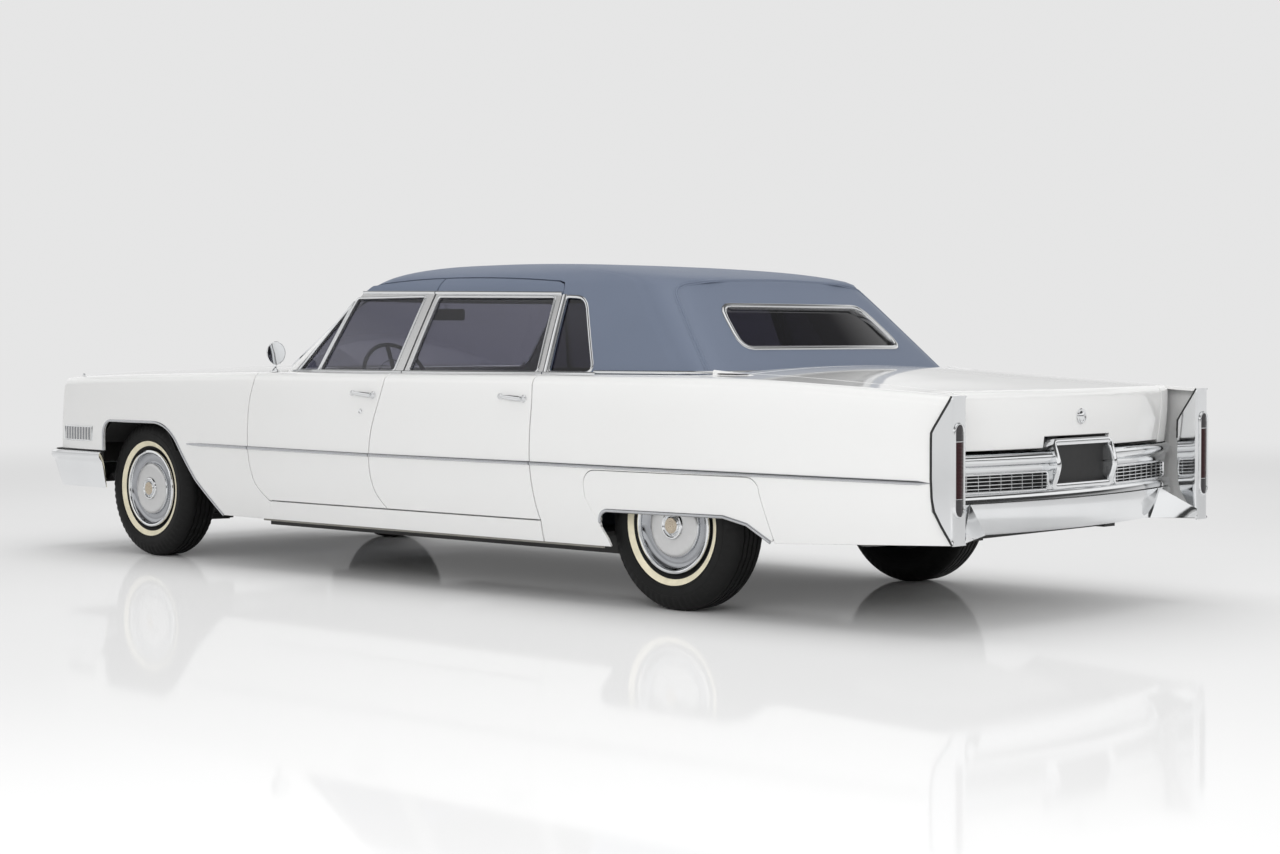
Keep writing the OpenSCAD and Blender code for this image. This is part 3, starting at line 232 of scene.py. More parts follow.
def panel(name, outline, surface, out, spacing=0.018, depth=0.014, edge=0.0025, slant=0, fine=None,
          side=1, holes=()):
    """Pressed sheet on a surface, with rolled edges.

    Outline and holes are in the surface's own two coordinates; out is a way roughly outward.
    """
    rings = []
    for k, given in enumerate([outline, *holes]):
        p = anticlockwise(given)
        rings.append(densify(p if k == 0 else p[::-1], spacing * 0.8))
    cores = [inset(ring, edge) for ring in rings]
    low, high = rings[0].min(0), rings[0].max(0)
    us = np.arange(low[0] + spacing / 2, high[0], spacing)
    vs = np.arange(low[1] + spacing / 2, high[1], spacing)
    if fine:
        vs = np.concatenate([vs[(vs < fine[0]) | (vs > fine[1])], np.arange(fine[0], fine[1], fine[2])])
    grid = np.stack(np.meshgrid(us, vs), -1).reshape(-1, 2)
    keep = inside(grid, cores[0])
    for k, core in enumerate(cores):
        keep &= distance(grid, core) > spacing * 0.45
        keep &= (k == 0) | ~inside(grid, core)
    points = np.concatenate([*cores, grid[keep]])
    starts = np.cumsum([0] + [len(core) for core in cores])
    flat, _, faces, origin, _, _ = delaunay_2d_cdt(
        [Vector(p) for p in points], [], [list(range(i, j)) for i, j in zip(starts, starts[1:])], 1, 1e-6)
    flat = np.array([tuple(p) for p in flat])
    faces = [tuple(f) for f in faces]
    for core in cores[1:]:
        middle = np.array([flat[list(f)].mean(0) for f in faces])
        faces = [f for f, drop in zip(faces, inside(middle, core)) if not drop]
    index = {i: k for k, source in enumerate(origin) for i in source}
    top = surface(flat[:, 0], flat[:, 1])
    top_n = normals_of(surface, flat[:, 0], flat[:, 1], out)
    point_rows, normal_rows, quads = [top], [top_n], []
    count = len(top)
    a, b, c = (top[[f[k] for f in faces]] for k in range(3))
    flip = (np.cross(b - a, c - a) * top_n[[f[0] for f in faces]]).sum(1) < 0
    faces = [f[::-1] if w else f for f, w in zip(faces, flip)]
    for ring, start in zip(rings, starts):
        n = len(ring)
        side_way = surface(*inset(ring, -0.001).T) - surface(*inset(ring, 0.001).T)
        side_way /= np.linalg.norm(side_way, axis=1, keepdims=True) + 1e-12
        ring_n = normals_of(surface, ring[:, 0], ring[:, 1], out)
        loops = [np.array([index[i] for i in range(start, start + n)])]
        for a, down in ((30, 0), (60, 0), (90, 0), (90, depth)):
            s, c = math.sin(math.radians(a)), math.cos(math.radians(a))
            d = down or edge * (1 - c)
            r = inset(ring, edge * (1 - s)) + np.array([slant * d, 0])
            point_rows.append(surface(r[:, 0], r[:, 1]) - ring_n * d)
            normal_rows.append(ring_n * c + side_way * s)
            loops.append(count + np.arange(n))
            count += n
        k = np.arange(n)
        j = (k + 1) % n
        for p, q in zip(loops, loops[1:]):
            quads += list(zip(p[k], q[k], q[j], p[j]))
    if flip[0]:
        quads = [f[::-1] for f in quads]
    point_rows.append(top - top_n * depth + np.array([slant * depth, 0, 0]))
    normal_rows.append(-top_n)
    backs = [tuple(count + i for i in f[::-1]) for f in faces]
    points, normals = np.concatenate(point_rows), np.concatenate(normal_rows)
    faces = faces + quads + backs
    if side < 0:
        points, normals = points * MIRROR, normals * MIRROR
        faces = [f[::-1] for f in faces]
    return new_mesh(name, points, faces, normals)


def put(node, values):
    """Set inputs of a shader node by their names."""
    for socket, value in values.items():
        node.inputs[socket].default_value = value
    return node


def shader(name, colour, roughness, metallic=0.0):
    """New material with its node tree and its shader."""
    m = bpy.data.materials.new(name)
    m.use_nodes = True
    nodes, links = m.node_tree.nodes, m.node_tree.links
    bsdf = put(nodes["Principled BSDF"], {"Base Color": (*colour, 1), "Roughness": roughness,
                                          "Metallic": metallic})
    m.diffuse_color = (*colour, 1)
    return m, nodes, links, bsdf


def noise(nodes, links, scale, detail=3.0, stretch=None):
    where = nodes.new("ShaderNodeTexCoord")
    n = put(nodes.new("ShaderNodeTexNoise"), {"Scale": scale, "Detail": detail})
    if stretch:
        move = put(nodes.new("ShaderNodeMapping"), {"Scale": stretch})
        links.new(where.outputs["Object"], move.inputs["Vector"])
        links.new(move.outputs["Vector"], n.inputs["Vector"])
    else:
        links.new(where.outputs["Object"], n.inputs["Vector"])
    return n


def spread(nodes, links, source, low, high, socket):
    """Feed a socket with a value or colour that varies between low and high with a noise."""
    if isinstance(low, tuple):
        ramp = nodes.new("ShaderNodeMix")
        ramp.data_type = "RGBA"
        put(ramp, {"A": (*low, 1), "B": (*high, 1)})
        links.new(source, ramp.inputs["Factor"])
    else:
        ramp = nodes.new("ShaderNodeMapRange")
        put(ramp, {"From Min": 0.1, "From Max": 0.9, "To Min": low, "To Max": high})
        links.new(source, ramp.inputs["Value"])
    links.new(ramp.outputs["Result"], socket)


def bump(nodes, links, bsdf, source, strength, distance):
    b = put(nodes.new("ShaderNodeBump"), {"Strength": strength, "Distance": distance})
    links.new(source, b.inputs["Height"])
    links.new(b.outputs["Normal"], bsdf.inputs["Normal"])


def mottled(name, low, high, rough_low, rough_high, scale, detail=3.0, stretch=None, metallic=0.0, grain=None,
            settings=()):
    """Finish whose colour and sheen vary a little from place to place.

    grain is the scale, detail, strength and depth of a fine relief; settings are other inputs of the shader.
    """
    m, nodes, links, bsdf = shader(name, high, rough_low, metallic)
    put(bsdf, dict(settings))
    patches = noise(nodes, links, scale, detail, stretch).outputs["Fac"]
    spread(nodes, links, patches, low, high, bsdf.inputs["Base Color"])
    spread(nodes, links, patches, rough_low, rough_high, bsdf.inputs["Roughness"])
    if grain:
        fine = noise(nodes, links, *grain[:2])
        bump(nodes, links, bsdf, fine.outputs["Fac"], *grain[2:])
    return m


PAINT = mottled("white_enamel", (0.79, 0.79, 0.78), (0.82, 0.82, 0.815), 0.26, 0.34, 1.3,
                grain=(260, 2, 0.012, 0.001), settings=(("Coat Weight", 1.0), ("Coat Roughness", 0.03)))
SIDES = (("left", 1), ("right", -1))
DOOR_BODY = {("front", 1): "door_fl", ("front", -1): "door_fr", ("rear", 1): "door_rl",
             ("rear", -1): "door_rr"}
SHOULDER_ROWS = (0.86, 1.02, 0.007)


def finish(obj, material, body, slot, node=None):
    """Give a piece its material and its body, and hide the node that it stands for; slot is not used."""
    obj.data.materials.clear()
    obj.data.materials.append(material)
    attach(obj, body)
    if node:
        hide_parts(node)
    return obj


def shut_edge(line, low, high, dx, top_y):
    """A shut line in side coordinates, from low up the side and on over the shoulder to top_y."""
    z = np.linspace(low, high, 24)
    edge = [(shut_x(line, h) + dx, h) for h in z]
    x = edge[-1][0]
    return edge + [(x, float(side_s(x, top_y)))]


def arc(x, z, radius, degrees):
    return [(x + radius * math.cos(math.radians(a)), z + radius * math.sin(math.radians(a))) for a in degrees]


arch_front_x = front_axle_x + 0.295
ARCH_FRONT = (
    [(arch_front_x, 0.558)]
    + arc(arch_front_x - 0.07, 0.65, 0.07, range(0, 91, 10))
    + arc(front_axle_x - 0.19, 0.42, 0.30, range(90, 139, 6))
    + [(front_axle_x - 0.569, 0.431), (front_axle_x - 0.764, sill_z)])
SKIRT = (
    [(rear_axle_x + 0.288, 0.250), (rear_axle_x + 0.300, 0.290), (rear_axle_x + 0.408, 0.470)]
    + arc(rear_axle_x + 0.350, 0.523, 0.062, range(0, 91, 15))
    + arc(rear_axle_x - 0.490, 0.521, 0.064, range(90, 181, 15))
    + [(rear_axle_x - 0.606, 0.345), (rear_axle_x - 0.612, 0.250)])
SKIRT_OPEN = (
    [(rear_axle_x + 0.345, 0.250), (rear_axle_x + 0.333, 0.365)]
    + arc(rear_axle_x + 0.28, 0.365, 0.05, range(0, 91, 15))
    + [(rear_axle_x - 0.360, 0.418), (rear_axle_x - 0.480, 0.392), (rear_axle_x - 0.591, 0.326)]
    + [(rear_axle_x - 0.593, 0.250)])
OUT_LEFT = (0, 1, 0.5)
wing_top_y = bonnet_half + shut_gap / 2
house_foot_y = half_w - 0.126

for word, side in SIDES:
    wing_rear = shut_edge(1, sill_z, belt_z - 0.042, shut_gap / 2, house_foot_y + 0.004)
    rear_x = wing_rear[-1][0]
    inner_edge = [(x, float(side_s(x, wing_top_y))) for x in np.linspace(rear_x + 0.13, wing_front_x, 12)]
    outline = wing_rear + inner_edge + [(wing_front_x, 0.558)] + ARCH_FRONT
    wing = panel(f"wing_{word}", outline, side_surface, OUT_LEFT, slant=shut_slant, fine=SHOULDER_ROWS,
                 side=side)
    finish(wing, PAINT, "body", "paint", f"front_wing_{word}")
    for place, first, last in (("front", 1, 2), ("rear", 2, 3)):
        fore = shut_edge(first, door_z, belt_z - 0.042, -shut_gap / 2, house_foot_y + 0.004)
        aft = shut_edge(last, door_z, belt_z - 0.042, shut_gap / 2, house_foot_y + 0.004)
        skin = panel(f"door_{place}_{word}_skin", fore + aft[::-1], side_surface, OUT_LEFT, depth=0.060,
                     slant=shut_slant, fine=SHOULDER_ROWS, side=side)
        finish(skin, PAINT, DOOR_BODY[place, side], "paint", f"door_{place}_{word}")

# Quarter panels run from the rear doors to the lamp pods, and the skirts close the rear wheel openings.
# The quarter is welded to the body; each skirt is a separate pressing with a turned lip.
pod_front_x = tail_x + 0.104
boot_front_x = rear_axle_x - 0.315
boot_top_y = boot_half + shut_gap / 2
roof_base_x = rear_axle_x - 0.256
for word, side in SIDES:
    fore = shut_edge(3, sill_z, belt_z - 0.042, -shut_gap / 2, house_foot_y + 0.004)
    foot = [(x, float(side_s(x, y))) for x, y in (
        (rear_door_x - 0.15, 0.880), (rear_axle_x + 0.30, 0.872), (rear_axle_x - 0.05, 0.855),
        (rear_axle_x - 0.13, 0.838), (rear_axle_x - 0.18, 0.800), (rear_axle_x - 0.205, 0.741))]
    deck = [(x, float(side_s(x, boot_top_y))) for x in np.linspace(rear_axle_x - 0.22, tail_x + 0.162, 14)]
    deck += [(x, float(side_s(x, y))) for x, y in (
        (tail_x + 0.171, 0.790), (tail_x + 0.180, 0.838), (tail_x + 0.016, 0.841))]
    tail = [(tail_x + 0.016, 0.922), (pod_front_x + 0.003, 0.782), (pod_front_x + 0.003, 0.486),
            (tail_x + 0.018, 0.358)]
    hem = [(rear_axle_x - 0.612, 0.322)] + SKIRT[::-1][1:-1] + [(rear_axle_x + 0.288, sill_z)]
    quarter = panel(f"quarter_{word}_skin", fore + foot + deck + tail + hem, side_surface, OUT_LEFT,
                    slant=shut_slant, fine=SHOULDER_ROWS, side=side)
    finish(quarter, PAINT, "body", "paint", f"quarter_{word}")
    rim = [(x + (0.002 if x < rear_axle_x else -0.002), z - 0.002) for x, z in SKIRT[2:-1]]
    lip = SKIRT_OPEN[1:-1]
    front_lip = [(rear_axle_x + 0.332, 0.340)]
    skirt = panel(f"wheel_skirt_{word}", rim + [(rear_axle_x - 0.600, 0.330)] + lip[::-1] + front_lip,
                  side_surface, OUT_LEFT, side=side)
    finish(skirt, PAINT, "body", "paint", "wheel_skirts" if side > 0 else None)

# Sills: painted rocker pressings below the doors, each with a weld flange in grey primer underneath.
# Each is a box section on the line of the body side, welded to the floor and the door posts.
def rectangle(u0, v0, u1, v1):
    return [(u0, v0), (u1, v0), (u1, v1), (u0, v1)]


def outward(obj):
    """Turn the faces of a closed mesh outward."""
    bm = bmesh.new()
    bm.from_mesh(obj.data)
    bmesh.ops.recalc_face_normals(bm, faces=bm.faces)
    bm.to_mesh(obj.data)
    bm.free()
    return obj


def grid_mesh(name, rows, loop=False, sharp=42, side=1):
    """Closed skin over rows of points; loop joins the last row to the first."""
    rows = np.array(rows, float) * (MIRROR if side < 0 else 1)
    n, k = rows.shape[:2]
    i, j = np.meshgrid(np.arange(n if loop else n - 1), np.arange(k), indexing="ij")
    i2, j2 = (i + 1) % n, (j + 1) % k
    faces = np.stack([i * k + j, i * k + j2, i2 * k + j2, i2 * k + j], -1).reshape(-1, 4).tolist()
    if not loop:
        faces += [list(range(k))[::-1], [(n - 1) * k + c for c in range(k)]]
    obj = outward(new_mesh(name, rows.reshape(-1, 3), faces))
    obj.data.set_sharp_from_angle(angle=math.radians(sharp))
    return obj


def sweep(name, path, normals, profile, loop=False, taper=(0, 0), sharp=42, side=1):
    """Strip along a path, with one normal for each point or one for all.

    The profile's columns are the way across the path and the way out.
    """
    path, profile = np.array(path, float), np.array(profile, float)
    normals = np.broadcast_to(np.array(normals, float), path.shape)
    if loop:
        along = np.roll(path, -1, 0) - np.roll(path, 1, 0)
    else:
        along = np.gradient(path, axis=0)
    along /= np.linalg.norm(along, axis=1, keepdims=True)
    across = np.cross(normals, along)
    across /= np.linalg.norm(across, axis=1, keepdims=True)
    out = np.cross(along, across)
    run = np.concatenate([[0], np.cumsum(np.linalg.norm(np.diff(path, axis=0), axis=1))])
    size = np.ones(len(path))
    for reach, away in ((taper[0], run), (taper[1], run[-1] - run)):
        if reach:
            size = np.minimum(size, 0.15 + 0.85 * np.clip(away / reach, 0, 1) ** 0.5)
    rows = (path[:, None] + across[:, None] * profile[None, :, :1] * size[:, None, None]
            + out[:, None] * profile[None, :, 1:] * size[:, None, None])
    return grid_mesh(name, rows, side=side, loop=loop, sharp=sharp)


def bead(width, rise, sink=0.002, steps=8):
    """Profile of a half-round strip."""
    a = np.linspace(0, math.pi, steps)
    half_round = [(width / 2 * math.cos(t), rise * math.sin(t)) for t in a]
    return half_round + [(-width / 2, -sink), (width / 2, -sink)]


def on_side(points):
    """Points and normals on the left body side for rows of x and s."""
    p = np.array(points, float)
    return side_surface(p[:, 0], p[:, 1]), normals_of(side_surface, p[:, 0], p[:, 1], OUT_LEFT)


PRIMER = mottled("grey_primer", (0.22, 0.21, 0.19), (0.38, 0.37, 0.33), 0.6, 0.6, 14)
for word, side in SIDES:
    fore_x, aft_x = shut_x(1, door_z) - shut_gap / 2, shut_x(3, door_z) + shut_gap / 2
    outline = rectangle(aft_x, sill_z, fore_x, door_z - shut_gap)
    sill = panel(f"sill_{word}", outline, side_surface, OUT_LEFT, depth=0.060, side=side)
    finish(sill, PAINT, "body", "paint", "sills" if side > 0 else None)
    x = np.linspace(aft_x - 0.35, fore_x + 0.10, 40)
    path = np.stack([x, side_y(x, sill_z) - 0.024, np.full(40, sill_z - 0.002)], 1)
    flange = sweep(f"sill_flange_{word}", path, (0, 1, 0), rectangle(-0.011, 0, 0.008, 0.005), side=side)
    finish(flange, PRIMER, "body", "chassis_steel")

# Bonnet and scuttle: a wide pressing with a faint centre ridge, and the panel ahead of the windscreen.
# Both are pressed steel in the body's white; the bonnet lifts on hinges at the scuttle, which is welded in.
bonnet_rear_x = front_axle_x - 0.774
lid_edge = bonnet_half - shut_gap / 2
screen_x = front_axle_x - 0.890
OUT_UP = (0, 0, 1)


def bonnet_rear(y):
    return bonnet_rear_x - 0.150 * (y / bonnet_half) ** 2


def bonnet_front(y):
    return nose_x - 0.080 - 0.055 * (y / bonnet_half) ** 2


def bonnet_surface(x, y):
    u = np.clip((x - bonnet_rear(y)) / (bonnet_front(y) - bonnet_rear(y)), -0.1, 1.1)
    ridge = 0.007 * np.exp(-(y / 0.14) ** 2) * np.clip(u / 0.3, 0, 1) ** 2
    return np.stack([x, y, deck_z(x, y) + ridge - 0.060 * np.maximum(0, (u - 0.9) / 0.1) ** 2], -1)


def deck_surface(x, y):
    return np.stack([x, y, deck_z(x, y)], -1)


def screen_foot(y):
    return screen_x - 0.232 * (y / house_foot_y) ** 2


across_ys = np.linspace(-lid_edge, lid_edge, 41)
outline = [(bonnet_rear(y), y) for y in across_ys[::-1]] + [(bonnet_front(y), y) for y in across_ys]
lid = panel("bonnet_skin", outline, bonnet_surface, OUT_UP, spacing=0.024, depth=0.018, edge=0.004)
finish(lid, PAINT, "bonnet", "paint", "bonnet")
outline = [(bonnet_rear(y) - shut_gap, y) for y in across_ys]
outline += [(bonnet_rear(lid_edge) - 0.010, lid_edge + 0.004), (front_door_x - 0.030, house_foot_y - 0.002)]
outline += [(screen_foot(y) + 0.004, y) for y in np.linspace(house_foot_y - 0.02, -house_foot_y + 0.02, 41)]
outline += [(front_door_x - 0.030, 0.002 - house_foot_y), (bonnet_rear(lid_edge) - 0.010, -lid_edge - 0.004)]
scuttle = panel("scuttle_panel", outline, deck_surface, OUT_UP, spacing=0.022, depth=0.012)
finish(scuttle, PAINT, "body", "paint", "cowl")

# Boot lid, rear deck and tail corners: the lid rolls over from the deck into the bowed tail face.
# The lid has a notch over the plate recess; the corner pressings close the face out to the lamp pods.
fold_r = 0.030
tail_face_x = tail_x + 0.047
pod_y = 0.841
boot_low_z = 0.700


def tail_face(y):
    return tail_face_x + 0.105 * (y / pod_y) ** 2


def fold(y):
    """Start of the roll at y: way along the deck, its height, and the deck's slope there."""
    x = tail_face(y) + fold_r
    slope = np.arctan((deck_z(x + 0.01, y) - deck_z(x - 0.01, y)) / 0.02)
    x = x - fold_r * np.sin(slope)
    return boot_front_x - x, deck_z(x, y), slope


def boot_surface(s, y):
    """Point of the lid: s runs back along the deck, round the roll and down the tail face."""
    length, z0, slope = fold(y)
    bend = np.clip(slope + (s - length) / fold_r, slope, math.pi / 2)
    down = np.maximum(s - length - fold_r * (math.pi / 2 - slope), 0)
    x_mid = boot_front_x - length + fold_r * np.sin(slope)
    z_mid = z0 - fold_r * np.cos(slope)
    x = np.where(s < length, boot_front_x - s, x_mid - fold_r * np.sin(bend) + 0.014 * (down / 0.19) ** 2)
    z = np.where(s < length, deck_z(boot_front_x - s, y), z_mid + fold_r * np.cos(bend) - down)
    return np.stack([x, y, z], -1)


def boot_s(y, z):
    """The value of s at which the tail face reaches the height z."""
    length, z0, slope = fold(y)
    return length + fold_r * (math.pi / 2 - slope) + z0 - fold_r * np.cos(slope) - z


lid_half = boot_half - shut_gap / 2
OUT_BACK = (-1, 0, 0.6)
notch_y, notch_z = 0.236, 0.746
low_edge = [(float(boot_s(y, boot_low_z)), y) for y in np.linspace(-lid_half, -notch_y, 14)]
low_edge += [(float(boot_s(y, notch_z)), y) for y in np.linspace(-notch_y, notch_y, 13)]
low_edge += [(float(boot_s(y, boot_low_z)), y) for y in np.linspace(notch_y, lid_half, 14)]
lid = panel("boot_lid_skin", [(0.001, lid_half), (0.001, -lid_half)] + low_edge, boot_surface, OUT_BACK,
            spacing=0.016, depth=0.018, edge=0.004)
finish(lid, PAINT, "boot", "paint", "boot_lid")
deck_split_y = boot_half - 0.004
base_ys = np.linspace(-deck_split_y, deck_split_y, 31)
outline = [(boot_front_x + shut_gap, -deck_split_y), (boot_front_x + shut_gap, deck_split_y)]
outline += [(roof_base_x - 0.004 + 0.045 * (y / deck_split_y) ** 2, y) for y in base_ys[::-1]]
deck = panel("rear_deck_panel", outline, deck_surface, OUT_UP, depth=0.012)
finish(deck, PAINT, "body", "paint", "rear_deck")
for word, side in SIDES:
    ys = np.linspace(boot_half + shut_gap / 2, pod_y - 0.003, 7)
    outline = [(float(fold(y)[0]) + 0.001, y) for y in ys[::-1]] + [(float(boot_s(y, 0.690)), y) for y in ys]
    corner = panel(f"tail_corner_{word}", outline, boot_surface, OUT_BACK, spacing=0.012, depth=0.010,
                   side=side)
    finish(corner, PAINT, "body", "paint", "tail_panel" if side > 0 else None)

# Roof: pressed steel top and rear quarters in blue-grey grained vinyl; the windscreen posts stay white.
# The shell is skinned over the levels of the glasshouse and cut for the doors and the windows.
# Columns: z, front, rear, half width, front bow, rear bow, front corner, rear corner
HOUSE = np.array([
    [0.975, front_axle_x - 0.890, rear_axle_x - 0.256, 0.889, 0.232, 0.060, 0.060, 0.150],
    [1.175, front_axle_x - 1.172, rear_axle_x - 0.048, 0.806, 0.180, 0.055, 0.060, 0.150],
    [1.365, front_axle_x - 1.439, rear_axle_x + 0.150, 0.722, 0.130, 0.050, 0.070, 0.150],
    [1.405, front_axle_x - 1.484, rear_axle_x + 0.194, 0.700, 0.125, 0.050, 0.090, 0.160],
    [1.445, front_axle_x - 1.534, rear_axle_x + 0.410, 0.650, 0.120, 0.060, 0.150, 0.200],
    [1.475, front_axle_x - 1.604, rear_axle_x + 0.730, 0.555, 0.110, 0.060, 0.180, 0.200],
    [1.495, front_axle_x - 1.694, rear_axle_x + 1.070, 0.430, 0.090, 0.060, 0.180, 0.180],
    [1.507, front_axle_x - 1.794, rear_axle_x + 1.480, 0.270, 0.060, 0.040, 0.120, 0.120],
    [1.512, front_axle_x - 1.874, rear_axle_x + 1.690, 0.120, 0.030, 0.020, 0.060, 0.060]])
rise = np.concatenate([[0], np.cumsum(np.hypot(np.diff(HOUSE[:, 0]), np.diff(HOUSE[:, 3])))])
LEVELS = np.stack([at(np.column_stack([rise, HOUSE]), np.linspace(0, rise[-1], 260), c) for c in range(1, 9)],
                  1)
house_mid_x = (front_axle_x + rear_axle_x) / 2 - 0.472


def level(z, column):
    return np.interp(z, LEVELS[:, 0], LEVELS[:, column])


def house_y(x, z):
    return level(z, 3) - 0.025 * ((x - house_mid_x) / 1.3) ** 2


def house_side(x, z):
    return np.stack([x, house_y(x, z), z], -1)


def screen_surface(y, z):
    return np.stack([level(z, 1) - level(z, 4) * (y / house_y(house_mid_x, z)) ** 2, y, z], -1)


def back_surface(y, z):
    return np.stack([level(z, 2) + level(z, 5) * (y / house_y(house_mid_x, z)) ** 2, y, z], -1)


def house_ring(row):
    """One level of the glasshouse, all round."""
    z, front, rear, half, front_bow, rear_bow, front_corner, rear_corner = row
    fx, rx = front - front_bow, rear + rear_bow
    fy, ry = (half - 0.025 * ((x - house_mid_x) / 1.3) ** 2 for x in (fx, rx))
    fc, rc = fy - front_corner, ry - rear_corner
    t = np.linspace(0, 1, 15)[:-1, None]

    def bend(a, b, c):
        return np.array(a) * (1 - t) ** 2 + np.array(b) * 2 * t * (1 - t) + np.array(c) * t * t

    y = fc * np.linspace(0, 1, 19)[:-1]
    rows = [np.stack([front - front_bow * (y / fy) ** 2, y], 1)]
    rows.append(bend((front - front_bow * (fc / fy) ** 2, fc), (fx, fy), (fx - front_corner, fy)))
    x = np.linspace(fx - front_corner, rx + rear_corner, 90)[:-1]
    rows.append(np.stack([x, half - 0.025 * ((x - house_mid_x) / 1.3) ** 2], 1))
    rows.append(bend((rx + rear_corner, ry), (rx, ry), (rear + rear_bow * (rc / ry) ** 2, rc)))
    y = rc * np.linspace(1, 0, 20)
    rows.append(np.stack([rear + rear_bow * (y / ry) ** 2, y], 1))
    left = np.concatenate(rows)
    ring = np.concatenate([left, left[-2:0:-1] * np.array([1, -1])])
    return np.column_stack([ring, np.full(len(ring), z)])


def round_corners(outline, radius, steps=5):
    """Outline with its corners bent round, by one radius or by one for each corner."""
    p = np.array(outline, float)
    rows = []
    for a, b, c, r in zip(np.roll(p, 1, 0), p, np.roll(p, -1, 0), np.broadcast_to(radius, len(p))):
        u, v = (a - b) / np.linalg.norm(a - b), (c - b) / np.linalg.norm(c - b)
        t = np.linspace(0, 1, steps)[:, None]
        rows.append((b + u * r) * (1 - t) ** 2 + b * 2 * t * (1 - t) + (b + v * r) * t * t)
    return np.concatenate(rows)


def with_edges(faces):
    """Faces of a mesh together with their edges and corners."""
    return list(set(faces) | {e for f in faces for e in f.edges} | {v for f in faces for v in f.verts})


def cut_window(bm, outline, axes, test):
    """Cut an outline through the faces that pass the test and take away what lies inside it."""
    p = np.array(outline, float)
    for a, b in zip(p, np.roll(p, -1, 0)):
        low, high = np.minimum(a, b) - 0.03, np.maximum(a, b) + 0.03
        faces = [f for f in bm.faces if test(f.calc_center_median())
                 and all(low[k] < f.calc_center_median()[axes[k]] < high[k] for k in (0, 1))]
        point, way = [0, 0, 0], [0, 0, 0]
        point[axes[0]], point[axes[1]] = a
        way[axes[0]], way[axes[1]] = b[1] - a[1], a[0] - b[0]
        bmesh.ops.bisect_plane(bm, geom=with_edges(faces), plane_co=point, plane_no=way, dist=1e-5)
    centres = np.array([f.calc_center_median()[:] for f in bm.faces])
    gone = inside(centres[:, axes], p) & np.array([test(Vector(c)) for c in centres])
    bmesh.ops.delete(bm, geom=[f for f, g in zip(list(bm.faces), gone) if g], context="FACES")


def on_flank(centre):
    return abs(centre.y) > 0.45


def at_screen(centre):
    return centre.x > 0.40


def at_back(centre):
    return centre.x < -1.2


a_low_x, a_top_x = front_axle_x - 1.224, front_axle_x - 1.589
b_low_x, b_top_x = centre_door_x - 0.095, centre_door_x - 0.166
c_low_x, c_top_x = rear_door_x + 0.047, rear_door_x + 0.074
pane_z = belt_z + 0.016


def cut_z(x):
    return 1.437 - np.where(x > b_top_x, 0.090, 0.048) * (x - b_top_x) ** 2


DOOR_OPENING = [(a_low_x, 0.93), (a_low_x, belt_z), (a_top_x, 1.390)]
DOOR_OPENING += [(x, float(cut_z(x))) for x in np.linspace(a_top_x - 0.045, c_top_x + 0.045, 12)]
DOOR_OPENING += [(c_top_x + 0.012, 1.398), (c_top_x, 1.370), (c_low_x, belt_z), (c_low_x, 0.93)]
VENT = [(a_low_x - 0.045, pane_z), (a_low_x - 0.302, 1.326), (a_low_x - 0.192, pane_z)]
PANE_FRONT = [(a_low_x - 0.212, pane_z), (a_low_x - 0.328, 1.345), (b_low_x + 0.010, 1.345),
              (b_low_x + 0.070, pane_z)]
PANE_REAR = [(b_low_x - 0.042, pane_z), (b_low_x - 0.094, 1.342), (c_top_x + 0.043, 1.328),
             (c_low_x + 0.043, pane_z)]
PANE_QUARTER = [(c_low_x - 0.032, pane_z), (c_top_x - 0.033, 1.328), (c_top_x - 0.152, 1.322),
                (c_low_x - 0.294, pane_z)]
QUARTER_CORNERS = (0.010, 0.012, 0.055, 0.040)
SCREEN = [(0.812, 1.010), (0.665, 1.350), (-0.665, 1.350), (-0.812, 1.010)]
BACK = [(0.548, 1.103), (0.483, 1.283), (-0.483, 1.283), (-0.548, 1.103)]
QUARTER_HOLE = round_corners(PANE_QUARTER, QUARTER_CORNERS)
BACK_HOLE = round_corners(BACK, 0.060)
SCREEN_HOLE = round_corners(SCREEN, 0.050)
picks = np.unique(np.concatenate([np.arange(0, 150, 5), np.arange(150, 259, 3), [259]]))
shell = grid_mesh("roof_shell", [house_ring(LEVELS[i]) for i in picks])
bm = bmesh.new()
bm.from_mesh(shell.data)
foot_cap = [f for f in bm.faces if len(f.verts) > 4 and f.calc_center_median().z < 1.2]
bmesh.ops.delete(bm, geom=foot_cap, context="FACES")
cut_window(bm, DOOR_OPENING, [0, 2], on_flank)
cut_window(bm, QUARTER_HOLE, [0, 2], on_flank)
cut_window(bm, SCREEN_HOLE, [1, 2], at_screen)
cut_window(bm, BACK_HOLE, [1, 2], at_back)
post_top_z = 1.371
front_faces = [f for f in bm.faces if at_screen(f.calc_center_median())]
bmesh.ops.bisect_plane(bm, geom=with_edges(front_faces), plane_co=(0, 0, post_top_z), plane_no=(0, 0, 1),
                       dist=1e-5)
bm.to_mesh(shell.data)
posts = in_scene("screen_posts", shell.data.copy())
for obj, keep_posts in ((shell, False), (posts, True)):
    part = bmesh.new()
    part.from_mesh(obj.data)
    drop = [f for f in part.faces
            if (at_screen(f.calc_center_median()) and f.calc_center_median().z < post_top_z) != keep_posts]
    bmesh.ops.delete(part, geom=drop, context="FACES")
    part.to_mesh(obj.data)
    part.free()
bm.free()


def thicken(obj, depth, sharp=50):
    """Give a single skin its depth inward."""
    thick = obj.modifiers.new("depth", "SOLIDIFY")
    thick.thickness = depth
    thick.offset = -1
    thick.use_even_offset = True
    obj.data = bpy.data.meshes.new_from_object(obj.evaluated_get(bpy.context.evaluated_depsgraph_get()))
    obj.modifiers.clear()
    obj.data.polygons.foreach_set("use_smooth", [True] * len(obj.data.polygons))
    obj.data.set_sharp_from_angle(angle=math.radians(sharp))
    return obj


